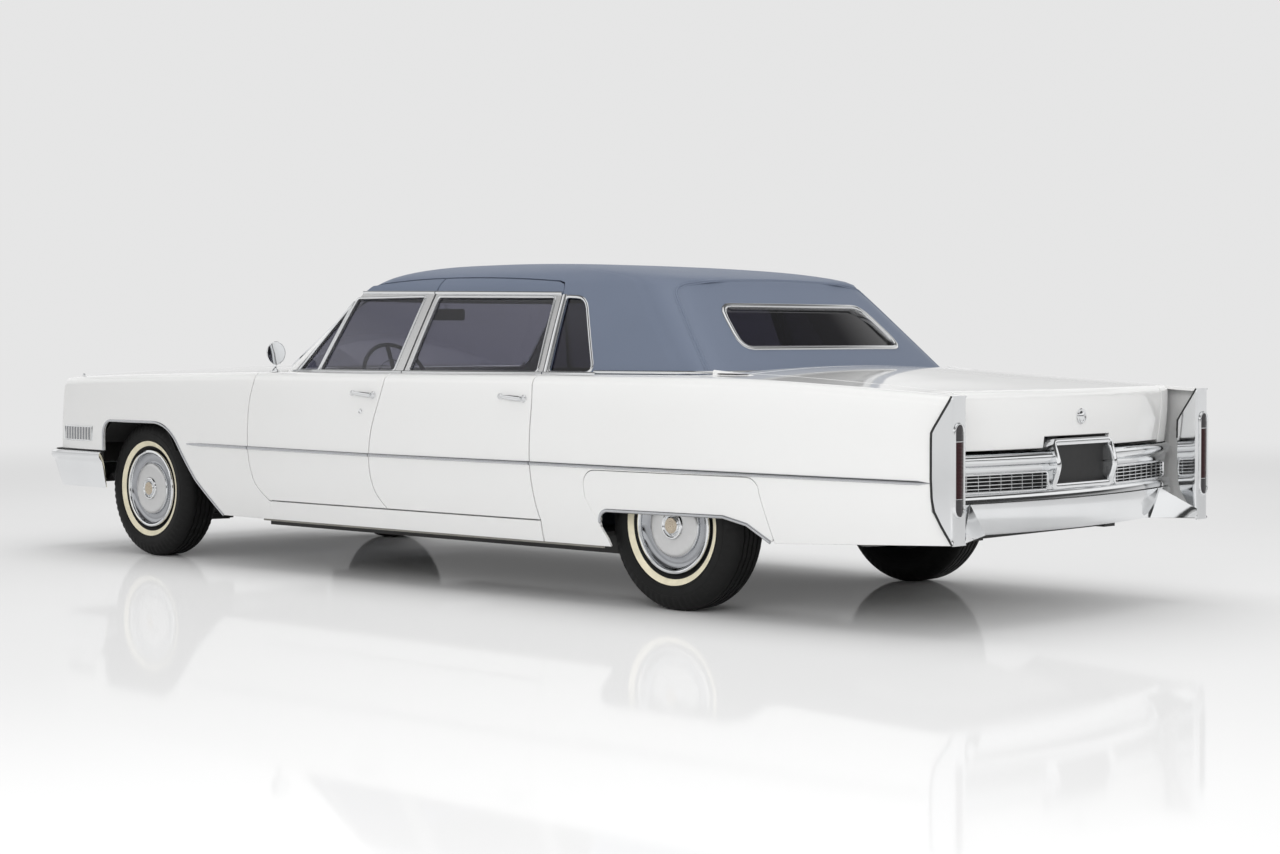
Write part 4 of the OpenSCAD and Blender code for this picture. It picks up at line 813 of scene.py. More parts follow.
VINYL = mottled("grained_vinyl", (0.128, 0.155, 0.212), (0.150, 0.178, 0.240), 0.42, 0.56, 2.2,
                grain=(420, 4, 0.35, 0.0012), settings=(("Specular IOR Level", 0.25),))
finish(thicken(shell, 0.016), VINYL, "body", "roof_cloth", "roof")
finish(thicken(posts, 0.016), PAINT, "body", "paint")

# Door uppers: bright steel window frames on each door, with a vinyl-covered cap above the drip strip.
# Each frame is one pressing with its window holes cut out, and moves with its door.
def bright_metal(name, low, high, rough_low, rough_high, scale, stretch=None):
    return mottled(name, low, high, rough_low, rough_high, scale, 4, stretch, 1.0)


CHROME = bright_metal("chrome", (0.79, 0.80, 0.81), (0.86, 0.87, 0.88), 0.05, 0.10, 5)


def plated(obj, node=None):
    """Chromed piece of the fixed body."""
    return finish(obj, CHROME, "body", "chrome", node)


STAINLESS = bright_metal("brushed_stainless", (0.66, 0.66, 0.66), (0.74, 0.74, 0.74), 0.20, 0.30, 60,
                         (1, 1, 12))


def drip_z(x):
    return 1.3645 + 0.0205 * (x - 0.02) - 0.002 * (x - 0.02) ** 2


def along(low, high, z_of, n=16):
    return [(x, float(z_of(x))) for x in np.linspace(low, high, n)]


frame_gap = 0.005
cap_gap = 0.004


def b_line(z, dx):
    return b_low_x + (b_top_x - b_low_x) * (z - belt_z) / (1.437 - belt_z) + dx


def a_line(z):
    return a_low_x - 0.006 + (a_top_x - a_low_x) * (z - belt_z) / (1.390 - belt_z)


def c_line(z, dx):
    return c_low_x + (c_top_x - c_low_x) * (z - belt_z) / (1.370 - belt_z) + dx


def cap_foot_z(x):
    return drip_z(x) + 0.003


def cap_top_z(x):
    return cut_z(x) - cap_gap


low_z = belt_z - 0.004
front_top_z, rear_top_z = float(drip_z(a_top_x)), float(drip_z(c_top_x))
FRAME_FRONT = ([(a_line(low_z), low_z), (a_line(front_top_z), front_top_z)]
               + along(a_line(front_top_z) - 0.02, b_line(1.362, frame_gap), drip_z)
               + [(b_line(low_z, frame_gap), low_z)])
FRAME_REAR = ([(b_line(low_z, -frame_gap), low_z)]
              + along(b_line(1.362, -frame_gap), c_line(rear_top_z, frame_gap), drip_z)
              + [(c_line(low_z, frame_gap), low_z)])
CAP_FRONT = (along(a_line(1.375) - 0.004, b_line(1.366, cap_gap), cap_foot_z)
             + along(b_line(1.431, cap_gap), a_top_x - 0.040, cap_top_z)
             + [(a_top_x - 0.012, 1.388)])
CAP_REAR = (along(b_line(1.366, -cap_gap), c_line(1.35, cap_gap), cap_foot_z)
            + [(c_line(1.372, cap_gap), 1.372), (c_top_x + 0.018, 1.392)]
            + along(c_top_x + 0.050, b_line(1.431, -cap_gap), cap_top_z))
for word, side in SIDES:
    for place, frame_outline, cap, holes in (
            ("front", FRAME_FRONT, CAP_FRONT, (VENT, round_corners(PANE_FRONT, 0.012))),
            ("rear", FRAME_REAR, CAP_REAR, (round_corners(PANE_REAR, 0.012),))):
        body = DOOR_BODY[place, side]
        surround = panel(f"window_frame_{place}_{word}", frame_outline, house_side, OUT_LEFT, depth=0.022,
                         edge=0.002, holes=holes, side=side)
        finish(surround, STAINLESS, body, "chrome")
        top = panel(f"door_cap_{place}_{word}", cap, house_side, OUT_LEFT, spacing=0.012, depth=0.012,
                    edge=0.003, side=side)
        finish(top, VINYL, body, "roof_cloth")

# Side glass: smoked panes let into the door frames and the quarter windows, with bright beads round them.
# The panes are thin closed sheets on the glasshouse; a vent pane stands ahead of each front window.
def smoked_glass(name, colour):
    m, nodes, links, bsdf = shader(name, colour, 0.0)
    put(bsdf, {"Transmission Weight": 1.0, "IOR": 1.45})
    film = noise(nodes, links, 3)
    spread(nodes, links, film.outputs["Fac"], 0.0, 0.02, bsdf.inputs["Roughness"])
    return m


GLASS = smoked_glass("smoked_glass", (0.33, 0.33, 0.39))
DARK_GLASS = smoked_glass("dark_smoked_glass", (0.05, 0.048, 0.07))


def sunk(surface, depth, way):
    """The same surface, moved by depth against a way."""
    def moved(u, v):
        return surface(u, v) - depth * np.array(way, float)
    return moved


def on_house(points):
    p = np.array(points, float)
    return house_side(p[:, 0], p[:, 1]), normals_of(house_side, p[:, 0], p[:, 1], OUT_LEFT)


def pane_bead(name, outline, body, side, width=0.012, rise=0.005):
    ring = densify(inset(anticlockwise(outline), -width * 0.35), 0.02)
    path, normals = on_house(ring)
    strip = sweep(name, path, normals, bead(width, rise), loop=True, side=side)
    finish(strip, CHROME, body, "chrome")


pane_surface = sunk(house_side, 0.011, (0, 1, 0))
for word, side in SIDES:
    for name, outline, body, node in (
            ("vent_pane", VENT, DOOR_BODY["front", side], f"glass_front_{word}"),
            ("front_pane", PANE_FRONT, DOOR_BODY["front", side], None),
            ("rear_pane", PANE_REAR, DOOR_BODY["rear", side], f"glass_rear_{word}"),
            ("quarter_pane", PANE_QUARTER, "body", "quarter_glass" if side > 0 else None)):
        pane = panel(f"{name}_{word}", outline, pane_surface, OUT_LEFT, spacing=0.05, depth=0.004,
                     edge=0.0006, side=side)
        tail_pane = name == "quarter_pane"
        finish(pane, DARK_GLASS if tail_pane else GLASS, body, "tinted_glass", node)
        corners = QUARTER_CORNERS if tail_pane else 0.012
        soft = outline if name == "vent_pane" else round_corners(outline, corners)
        pane_bead(f"{name}_bead_{word}", soft, body, side, 0.016 if tail_pane else 0.012)

# Windscreen and rear window: curved smoked sheets in thin bright surrounds.
# Each sheet follows the glasshouse a little below the roof skin and is held by a rolled plated strip.
OUT_SCREEN = (1, 0, 0.6)
for name, outline, hole, surface, out, way, node in (
        ("windscreen_sheet", SCREEN, SCREEN_HOLE, screen_surface, OUT_SCREEN, (1, 0, 0), "windscreen"),
        ("rear_window_sheet", BACK, BACK_HOLE, back_surface, OUT_BACK, (-1, 0, 0), "backlight")):
    sheet = panel(name, outline, sunk(surface, 0.022, way), out, spacing=0.05, depth=0.006, edge=0.0008)
    finish(sheet, GLASS if node == "windscreen" else DARK_GLASS, "body", "tinted_glass", node)
    ring = densify(inset(anticlockwise(hole), -0.004), 0.02)
    path, normals = surface(*ring.T), normals_of(surface, *ring.T, out)
    strip = sweep(name.replace("sheet", "surround"), path, normals, bead(0.024, 0.007, 0.016), loop=True)
    plated(strip)

# Bright strips: drip strip over the windows, belt strip, roof-base strip, side moulding, arch and skirt lips.
# Each is a rolled steel section clipped to its panel, cut at the shut lines.
def strip(name, points, profile, body, side, surface_of, taper=(0, 0), material=CHROME):
    path, normals = surface_of(points)
    return finish(sweep(f"{name}_{'left' if side > 0 else 'right'}", path, normals, profile, taper=taper,
                        side=side), material, body, "chrome")


def open_line(points, spacing):
    """Points along a line that isn't closed."""
    ring = densify(points, spacing)
    last = np.argmin(np.linalg.norm(ring - np.array(points[-1]), axis=1))
    return ring[:last + 1]


def belt_strip_z(x):
    return belt_z + 0.006


def moulding_z(x):
    return np.interp(x, (-2.993, -0.900, 0.189, 1.675), (0.591, 0.602, 0.604, 0.615))


POLISHED = bright_metal("polished_stainless", (0.48, 0.49, 0.51), (0.58, 0.59, 0.61), 0.08, 0.16, 8)
POST_STRIP = [(-0.0125, -0.002), (0.0125, -0.002), (0.0125, 0.004), (0.010, 0.006), (-0.010, 0.006),
              (-0.0125, 0.004)]
MOULDING = [(-0.0085, -0.002), (0.0085, -0.002), (0.0085, 0.002), (0.005, 0.006), (0.001, 0.0075),
            (-0.002, 0.005), (-0.006, 0.006), (-0.0085, 0.002)]
for word, side in SIDES:
    fl, rl = DOOR_BODY["front", side], DOOR_BODY["rear", side]
    split = [1.675, float(shut_x(1, 0.61)), float(shut_x(2, 0.60)), float(shut_x(3, 0.60)), pod_front_x]
    for k, body in enumerate(("body", fl, rl, "body")):
        low, high = split[k + 1] + (shut_gap / 2 if k < 3 else 0.006), split[k] - (shut_gap / 2 if k else 0)
        strip(f"side_moulding_{k}", along(high, low, moulding_z, 40), MOULDING, body, side, on_side,
              taper=(0.12, 0) if k == 0 else (0, 0.02) if k == 3 else (0, 0), material=POLISHED)
    for name, high, low, body in (("front", a_line(1.376), b_line(1.362, 0.003), fl),
                                  ("rear", b_line(1.362, -0.003), c_line(1.346, 0.003), rl)):
        strip(f"drip_strip_{name}", along(high, low, drip_z, 24), bead(0.018, 0.009), body, side, on_house)
    for name, low, high, body in (("front", b_line(0.99, 0.003), a_line(0.992) + 0.02, fl),
                                  ("rear", c_line(0.99, 0.003), b_line(0.99, -0.003), rl),
                                  ("quarter", c_low_x - 0.320, c_line(0.99, -0.003), "body")):
        strip(f"belt_strip_{name}", along(high, low, belt_strip_z, 20), bead(0.016, 0.010), body, side,
              on_house)
    post_line = [(c_line(z, -0.0165), z) for z in np.linspace(belt_z + 0.008, 1.340, 14)]
    strip("quarter_post_strip", post_line, POST_STRIP, "body", side, on_house)
    strip("arch_lip", open_line(ARCH_FRONT, 0.015), bead(0.014, 0.006), "body", side, on_side,
          material=POLISHED)
    strip("skirt_lip", open_line(SKIRT_OPEN[1:-1], 0.012), bead(0.016, 0.007), "body", side, on_side,
          material=POLISHED)

# Rear bumper: chromed lamp pods at the corners, an upper bar, a plated face and a lower blade.
# The pods are castings built up level by level; bar and blade are rolled sections bowed across the tail.
POD_SIDE = np.array([[0.358, 0.008], [0.372, 0.018], [0.430, 0.058], [0.486, 0.090], [0.530, 0.100],
                     [0.605, 0.104], [0.700, 0.104], [0.780, 0.1035], [0.800, 0.092], [0.860, 0.052],
                     [0.905, 0.022], [0.921, 0.012]])
pod_face = 0.010


def pod_row(z, depth):
    """Outline of a pod at one height, from its inner front edge round the tail to its outer front edge."""
    r = min(0.010, depth - pod_face)
    turn = np.radians([0, 22, 45, 68, 90])
    straight = np.linspace(depth, pod_face + r, 7)[:-1]
    d = np.concatenate([straight, pod_face + r * (1 - np.sin(turn))])
    bend = np.concatenate([np.zeros(6), r * (1 - np.cos(turn))])
    inner = np.stack([d, 0.838 + bend], 1)
    outer = np.stack([d, 0.926 - bend + 0.008 * np.maximum(d - 0.02, 0) / 0.1], 1)
    p = np.concatenate([inner, [[pod_face, 0.865], [pod_face, 0.882], [pod_face, 0.899]], outer[::-1]])
    return np.column_stack([tail_x + p[:, 0], p[:, 1], np.full(len(p), z)])


def flat(axis, place):
    """Plane square to an axis, in the other two coordinates."""
    def surface(u, v):
        rows = [u, v]
        rows.insert(axis, np.full(np.shape(u), place))
        return np.stack(rows, -1)
    return surface


def stadium(y0, z0, z1, r, n=14):
    """Upright slot outline in y and z."""
    a = np.linspace(0, math.pi, n)
    return np.concatenate([np.stack([y0 + r * np.cos(a), z1 - r + r * np.sin(a)], 1),
                           np.stack([y0 - r * np.cos(a), z0 + r - r * np.sin(a)], 1)])


def flutes(nodes, links, way, scale):
    """Ribs pressed into a lens, as a wave along one axis."""
    where = nodes.new("ShaderNodeTexCoord")
    ribs = put(nodes.new("ShaderNodeTexWave"), {"Scale": scale})
    ribs.bands_direction = way
    links.new(where.outputs["Object"], ribs.inputs["Vector"])
    return ribs.outputs["Fac"]


def lamp_glass(name, colour, rough):
    m, nodes, links, bsdf = shader(name, colour, rough)
    put(bsdf, {"Coat Weight": 0.10, "Coat Roughness": 0.02, "Specular IOR Level": 0.25})
    ribs = flutes(nodes, links, "Z", 60)
    # The colour is halved in the hollows of the flutes: painted shade along the ribs.
    spread(nodes, links, ribs, tuple(c * 0.5 for c in colour), colour, bsdf.inputs["Base Color"])
    bump(nodes, links, bsdf, ribs, 0.3, 0.001)
    return m


BLACK = mottled("black_rubber", (0.008, 0.008, 0.009), (0.022, 0.022, 0.022), 0.42, 0.62, 40)
RED_LENS = lamp_glass("dark_red_lens", (0.030, 0.002, 0.004), 0.10)
SMOKE_LENS = lamp_glass("smoked_lens", (0.060, 0.056, 0.060), 0.10)
lens_y, lens_low, lens_high, lens_r = 0.8885, 0.469, 0.813, 0.0265
tail_plane = flat(0, tail_x + pod_face)


def lens_dome(y, z):
    crown = 1 - ((y - lens_y) / (lens_r * 1.15))[..., None] ** 2
    return tail_plane(y, z) - np.array([0.0085, 0, 0]) * crown


OUT_TAIL = (-1, 0, 0)
gasket_zs = np.array([0.362, 0.372, 0.486, 0.605, 0.782, 0.800, 0.919])
gasket_zs = np.concatenate([np.linspace(a, b, 8)[:-1] for a, b in zip(gasket_zs, gasket_zs[1:])] + [[0.919]])
gasket_depth = np.interp(gasket_zs, POD_SIDE[:, 0], POD_SIDE[:, 1])
for word, side in SIDES:
    zs = np.unique(np.concatenate([np.linspace(0.358, 0.921, 48), POD_SIDE[:, 0]]))
    rows = [pod_row(z, max(np.interp(z, POD_SIDE[:, 0], POD_SIDE[:, 1]), 0.013)) for z in zs]
    pod = grid_mesh(f"tail_pod_{word}", rows, side=side, sharp=24)
    finish(pod, CHROME, "body", "chrome", "rear_bumper" if side > 0 else None)
    ring = densify(stadium(lens_y, lens_low - 0.003, lens_high + 0.003, lens_r + 0.003), 0.012)
    bezel = sweep(f"tail_lamp_bezel_{word}", tail_plane(*ring.T), OUT_TAIL, bead(0.011, 0.0085, 0.004),
                  loop=True, side=side)
    plated(bezel)
    for part, low, high, material, slot, node in (
            ("top", 0.7505, lens_high, SMOKE_LENS, "clear_lamp", None),
            ("middle", 0.5345, 0.7475, RED_LENS, "red_lamp", "tail_lamps"),
            ("foot", lens_low, 0.5315, SMOKE_LENS, "clear_lamp", None)):
        outline = stadium(lens_y, lens_low, lens_high, lens_r)
        outline = np.column_stack([outline[:, 0], np.clip(outline[:, 1], low, high)])
        outline = outline[np.linalg.norm(outline - np.roll(outline, 1, 0), axis=1) > 1e-6]
        lens = panel(f"tail_lens_{part}_{word}", outline, lens_dome, OUT_TAIL, spacing=0.006, depth=0.012,
                     edge=0.001, side=side)
        finish(lens, material, "body", slot, node if side > 0 else None)
    x = tail_x + gasket_depth + 0.0016
    path = np.stack([x, 0.925 + 0.008 * gasket_depth / 0.104, gasket_zs], 1)
    gasket = sweep(f"pod_gasket_{word}", path, (0, 1, 0), rectangle(-0.003, -0.02, 0.003, 0.004), side=side)
    finish(gasket, BLACK, "body", "dark_plastic")
    keep = gasket_zs > 0.690
    path = np.stack([x[keep], np.full(keep.sum(), 0.8385), gasket_zs[keep]], 1)
    liner = sweep(f"pod_liner_{word}", path, (0, -1, 0), rectangle(-0.003, -0.01, 0.003, 0.003), side=side)
    finish(liner, BLACK, "body", "dark_plastic")


def bumper_x(y):
    return tail_x + 0.032 + 0.120 * (y / pod_y) ** 2


def tail_sweep(name, low, high, profile, n=60):
    """Rolled section across the tail; the profile's columns are height and distance out."""
    y = np.linspace(low, high, n)
    path = np.stack([bumper_x(y), y, np.zeros(n)], 1)
    normals = np.stack([-np.ones(n), 0.240 * y / pod_y ** 2, np.zeros(n)], 1)
    normals /= np.linalg.norm(normals, axis=1, keepdims=True)
    height, reach = np.array(profile)[None, :, :1], np.array(profile)[None, :, 1:]
    rows = path[:, None] + normals[:, None] * reach + np.array([0, 0, 1.0]) * height
    return grid_mesh(name, rows, sharp=30)


BAR = [(0.692, -0.030), (0.692, -0.004)]
BAR += [(0.6635 + 0.0245 * math.sin(t), -0.012 + 0.0190 * math.cos(t))
        for t in np.radians(np.linspace(100, -78, 16))]
BAR += [(0.634, -0.012), (0.626, -0.013), (0.612, -0.013), (0.612, -0.030)]
UPPER_BLADE = [(0.612, -0.034), (0.540, -0.034), (0.538, -0.008), (0.534, 0.001), (0.528, 0.0055),
               (0.515, 0.008), (0.5035, 0.009), (0.502, 0.007), (0.502, -0.034)]
LOWER_BLADE = [(0.499, -0.034), (0.499, 0.007), (0.4975, 0.0095), (0.480, 0.0095), (0.460, 0.0075),
               (0.440, 0.004), (0.415, -0.004), (0.395, -0.012), (0.382, -0.018), (0.374, -0.026),
               (0.372, -0.040), (0.390, -0.046)]
plate_half = 0.226
for word, side in SIDES:
    low, high = sorted((side * (plate_half - 0.030), side * (pod_y + 0.006)))
    plated(tail_sweep(f"bumper_bar_{word}", low, high, BAR))
# Corner facets from the ends of the blade out to the feet of the pods
t = np.linspace(0, 1, 10)[:, None]
for word, side in SIDES:
    top = np.array([tail_x + 0.098, 0.690, 0.498]) * (1 - t) + np.array([tail_x + 0.010, 0.842, 0.405]) * t
    low = np.array([tail_x + 0.092, 0.600, 0.376]) * (1 - t) + np.array([tail_x + 0.012, 0.842, 0.366]) * t
    back = np.array([0.014, -0.004, 0.0])
    rows = np.stack([top, top * 0.5 + low * 0.5 - np.array([0.002, 0, 0]), low, low + back, top + back], 1)
    plated(grid_mesh(f"bumper_facet_{word}", rows, side=side, sharp=20))
for name, profile in (("bumper_face", UPPER_BLADE), ("bumper_blade", LOWER_BLADE)):
    plated(tail_sweep(name, -pod_y - 0.006, pod_y + 0.006, profile, n=90))

# Grille slots in the bumper face: dark openings with thin plated bars in a rounded surround.
# The plate recess between them is a prow-shaped chromed hood round a bare dark plate place.
def join(name, pieces):
    """One mesh out of several."""
    bm = bmesh.new()
    for piece in pieces:
        bm.from_mesh(piece.data)
        bpy.data.objects.remove(piece)
    mesh = bpy.data.meshes.new(name)
    bm.to_mesh(mesh)
    bm.free()
    return in_scene(name, mesh)


def slot_face(y, z):
    return np.stack([bumper_x(y) + 0.004, y, z], -1)


slot_low, slot_high = 0.541, 0.611
y0, y1 = 0.244, 0.776
SLOT_BAR = [(-0.0016, -0.016), (0.0016, -0.016), (0.0016, 0.002), (0, 0.0032), (-0.0016, 0.002)]
SLOT_POST = rectangle(-0.0014, -0.016, 0.0014, -0.002)
for word, side in SIDES:
    outline = round_corners([(y1, slot_low), (y1, slot_high), (y0, slot_high), (y0, slot_low)], 0.016)
    web = rectangle(0.190, 0.538, y0 + 0.006, 0.612)
    plated(panel(f"grille_web_{word}", web, slot_face, OUT_TAIL, spacing=0.02, depth=0.006, side=side))
    # The black sheet behind the slots is painted shade for the dark space behind the openings.
    back = panel(f"grille_back_{word}", outline, sunk(slot_face, -0.022, (1, 0, 0)), OUT_TAIL, spacing=0.03,
                 depth=0.004, side=side)
    finish(back, BLACK, "body", "dark_plastic", "rear_grilles" if side > 0 else None)
    ring = densify(outline, 0.02)
    rim = sweep(f"grille_rim_{word}", slot_face(*ring.T), normals_of(slot_face, *ring.T, OUT_TAIL),
                bead(0.011, 0.006, 0.024), loop=True, side=side)
    plated(rim)
    bars = []
    for k in range(4):
        z = slot_low + 0.0135 + 0.0143 * k
        ys = np.linspace(y0 + 0.004, y1 - 0.004, 24)
        bars.append(sweep("bar", slot_face(ys, np.full(24, z)), OUT_TAIL, SLOT_BAR, side=side))
    for k in range(9):
        y = y0 + 0.030 + (y1 - y0 - 0.060) * k / 8
        zs = np.linspace(slot_low, slot_high, 4)
        bars.append(sweep("bar", slot_face(np.full(4, y), zs), OUT_TAIL, SLOT_POST, side=side))
    plated(join(f"grille_bars_{word}", bars))
hood_half, hood_top, hood_low, hood_mid = 0.210, 0.727, 0.542, 0.632
HOOD_RING = round_corners([(hood_half, hood_low), (hood_half, hood_top), (-hood_half, hood_top),
                           (-hood_half, hood_low)], 0.022, 6)


def hood_x(z):
    return tail_x + 0.010 + 0.032 * (np.sqrt(((z - hood_mid) / 0.09) ** 2 + 0.04) - 0.2)


def hood_face(y, z):
    return np.stack([hood_x(z), y, z], -1)


ring = densify(HOOD_RING, 0.012)
HOOD = [(-0.020, -0.100), (-0.020, -0.012), (-0.016, -0.003), (-0.008, 0.0005), (0.004, -0.001),
        (0.010, -0.006), (0.011, -0.100)]
plated(sweep("plate_hood", hood_face(*ring.T), OUT_TAIL, HOOD, loop=True))
back = panel("plate_back", inset(anticlockwise(ring), -0.006), flat(0, tail_x + 0.066), OUT_TAIL,
             spacing=0.03, depth=0.004)
finish(back, BLACK, "body", "dark_plastic")

# Roof dressing: a piped, double-stitched seam up each rear corner and across above the rear window,
# a plated strip round the foot of the vinyl, and a low air outlet behind each rear corner.
roof_tree = BVHTree.FromPolygons([v.co[:] for v in shell.data.vertices],
                                 [p.vertices[:] for p in shell.data.polygons])


def on_ring(z, index):
    """Point of the glasshouse at a height and a place along the level's ring."""
    row = np.array([level(z, c) if c else z for c in range(8)])
    ring = house_ring(row)
    i = int(index)
    return ring[i] + (ring[i + 1] - ring[i]) * (index - i)


def on_roof(points):
    hits = [roof_tree.find_nearest(Vector(p)) for p in points]
    return np.array([h[0][:] for h in hits]), np.array([h[1][:] for h in hits])


# Columns: height, place along the ring
SEAM = np.array([[1.000, 128.0], [1.180, 128.6], [1.335, 129.4], [1.362, 130.6], [1.380, 133.0],
                 [1.392, 137.0], [1.400, 142.0], [1.404, 148.0], [1.405, 154.0]])
run = np.linspace(0, len(SEAM) - 1, 70)
steps = np.arange(len(SEAM))
half = np.array([on_ring(np.interp(t, steps, SEAM[:, 0]), np.interp(t, steps, SEAM[:, 1])) for t in run])
for _ in range(4):
    half[1:-1] = (half[:-2] + 2 * half[1:-1] + half[2:]) / 4
path, normals = on_roof(np.concatenate([half, half[-2::-1] * MIRROR]))
for _ in range(12):
    normals[1:-1] = (normals[:-2] + 2 * normals[1:-1] + normals[2:]) / 4
normals /= np.linalg.norm(normals, axis=1, keepdims=True)
PIPING = [(-0.013, -0.002), (0.013, -0.002), (0.013, 0.001), (0.010, 0.0018), (0.0055, 0.0008),
          (0.0040, 0.0030), (0, 0.0046), (-0.0040, 0.0030), (-0.0055, 0.0008), (-0.010, 0.0018),
          (-0.013, 0.001)]
finish(sweep("roof_seam", path, normals, PIPING, sharp=30), VINYL, "body", "roof_cloth")
foot_ring = house_ring(LEVELS[6])
foot = foot_ring[(foot_ring[:, 0] < c_low_x - 0.30) & (foot_ring[:, 1] > -1e-6)]
foot = np.concatenate([foot, foot[-2::-1] * MIRROR])
foot_n = np.column_stack([np.gradient(foot[:, 1]), -np.gradient(foot[:, 0]), np.zeros(len(foot))])
foot_n *= np.sign((foot_n * (foot - np.array([-1.0, 0, 0]))).sum(1))[:, None]
foot_n /= np.linalg.norm(foot_n, axis=1, keepdims=True)
plated(sweep("roof_foot_strip", foot, foot_n, bead(0.018, 0.007)))
for word, side in SIDES:
    t = np.linspace(0, 1, 24)
    x = rear_axle_x - 0.175 - 0.200 * t
    y = 0.815 - 0.025 * t
    wide = 0.026 * np.sin(math.pi * np.clip(t * 0.9 + 0.08, 0, 1)) ** 0.6
    tall = 0.020 * (1 - t) ** 0.8 + 0.002
    base = deck_z(x, y)
    ring = np.linspace(0, math.pi, 10)
    rows = np.stack([np.repeat(x[:, None], 10, 1), y[:, None] + wide[:, None] * np.cos(ring),
                     base[:, None] - 0.002 + tall[:, None] * np.sin(ring)], -1)
    vent = grid_mesh(f"air_outlet_{word}", rows, side=side)
    finish(vent, PAINT, "body", "paint")
    # The black bead along each outlet is painted shade: it stands for the dark opening of the slit.
    path = np.stack([x[3:-2], y[3:-2] + wide[3:-2] * 0.94, base[3:-2] + 0.0035], 1)
    slit = sweep(f"air_slit_{word}", path, (0, 0.7, 0.7), bead(0.006, 0.002), taper=(0.02, 0.06), side=side)
    finish(slit, BLACK, "body", "dark_plastic")

# Door furniture: plated pull handles with a thumb button, key locks, a round mirror and a cap on the boot.
# The handles are drawn bars on two turned bases; locks, mirror and cap are turned and bolted on.
def lathe(name, profile, place, axis, steps=96, sharp=30, wave=None):
    """Turned piece: the profile's columns are radius and distance along the axis; it is closed on itself."""
    p = np.array(profile, float)
    axis = np.array(axis, float) / np.linalg.norm(axis)
    u = np.cross(axis, (0, 0, 1.0) if abs(axis[2]) < 0.9 else (1.0, 0, 0))
    u /= np.linalg.norm(u)
    v = np.cross(axis, u)
    a = np.linspace(0, 2 * math.pi, steps, endpoint=False)
    shapes = np.array([wave(k, p) if wave else p for k in range(steps)])
    turn_way = np.cos(a)[:, None, None] * u + np.sin(a)[:, None, None] * v
    points = np.array(place, float) + shapes[..., :1] * turn_way + shapes[..., 1:] * axis
    return grid_mesh(name, points, loop=True, sharp=sharp)


def handle(name, x, z, body, side):
    t = np.linspace(0, 1, 30)
    px = x + 0.080 - 0.165 * t
    out = 0.004 + 0.012 * np.sin(math.pi * np.clip(t * 1.15, 0, 1)) ** 0.5
    pz = z + 0.006 - 0.012 * t
    path = np.stack([px, side_y(px, pz) + out, pz], 1)
    size = 0.45 + 0.55 * np.clip(t / 0.5, 0, 1)
    ring = np.linspace(0, 2 * math.pi, 14, endpoint=False)
    rows = np.stack([np.repeat(px[:, None], 14, 1), path[:, 1:2] + 0.0055 * size[:, None] * np.cos(ring),
                     pz[:, None] + 0.0110 * size[:, None] * np.sin(ring)], -1)
    grip = grid_mesh("grip", rows, side=side)
    pieces = [grip]
    for bx, wide in ((x + 0.074, 0.013), (x - 0.076, 0.017)):
        place = np.array([bx, side * float(side_y(bx, z)), z + (0.005 if bx > x else -0.004)])
        base = [(0, -0.004), (wide, -0.004), (wide, 0.006), (wide * 0.8, 0.011), (0, 0.012)]
        pieces.append(lathe("base", base, place, (0, side, 0), 32))
    bx = x - 0.060
    pieces.append(lathe("button", [(0, 0.006), (0.008, 0.006), (0.008, 0.0165), (0.006, 0.018), (0, 0.018)],
                        (bx, side * float(side_y(bx, z)), z - 0.003), (0, side, 0), 28))
    finish(join(name, pieces), CHROME, body, "chrome")


KEY_LOCK = [(0, -0.003), (0.0125, -0.003), (0.0125, 0.002), (0.010, 0.004), (0.008, 0.003), (0, 0.003)]
for word, side in SIDES:
    handle(f"handle_front_{word}", centre_door_x + 0.058, 0.889, DOOR_BODY["front", side], side)
    handle(f"handle_rear_{word}", rear_door_x + 0.124, 0.886, DOOR_BODY["rear", side], side)
    place = (centre_door_x + 0.067, side * float(side_y(centre_door_x, 0.808)), 0.808)
    lock = lathe(f"key_lock_{word}", KEY_LOCK, place, (0, side, 0.3), 32)
    finish(lock, CHROME, DOOR_BODY["front", side], "chrome")
mirror_x, mirror_y = front_door_x - 0.122, half_w - 0.090
mirror_z = float(deck_z(mirror_x, mirror_y - 0.02))
MIRROR_FOOT = [(0, 0), (0.022, 0), (0.021, 0.005), (0.014, 0.010), (0.009, 0.020), (0.0075, 0.050),
               (0.0085, 0.062), (0, 0.066)]
MIRROR_HEAD = [(0, 0.016), (0.020, 0.0155), (0.038, 0.012), (0.050, 0.005), (0.0565, -0.004), (0.058, -0.011),
               (0.0565, -0.0135), (0.053, -0.0135), (0.0525, -0.010), (0, -0.010)]
MIRROR_GLASS = [(0, -0.0095), (0.052, -0.0095), (0.052, -0.012), (0, -0.0125)]
SILVER = bright_metal("mirror_silver", (0.80, 0.82, 0.84), (0.84, 0.85, 0.87), 0.01, 0.03, 4)
foot = lathe("mirror_foot", MIRROR_FOOT, (mirror_x, mirror_y, mirror_z), (0, 0, 1), 48)
head_at = (mirror_x, mirror_y, mirror_z + 0.092)
head = lathe("mirror_head", MIRROR_HEAD, head_at, (1, 0, 0), 72)
finish(join("mirror", [foot, head]), CHROME, "door_fl", "chrome", "door_mirror")
glass = lathe("mirror_glass", MIRROR_GLASS, head_at, (1, 0, 0), 64)
finish(glass, SILVER, "door_fl", "chrome")
LOCK_CAP = [(0, -0.002), (0.030, -0.002), (0.031, 0.002), (0.028, 0.0055), (0.024, 0.005), (0.021, 0.0035),
            (0.017, 0.006), (0.009, 0.0095), (0, 0.0105)]
cap = lathe("boot_lock_cap", LOCK_CAP, (tail_face_x + 0.001, 0, 0.823), (-1, 0, 0.02), 64)
finish(cap, CHROME, "boot", "chrome")

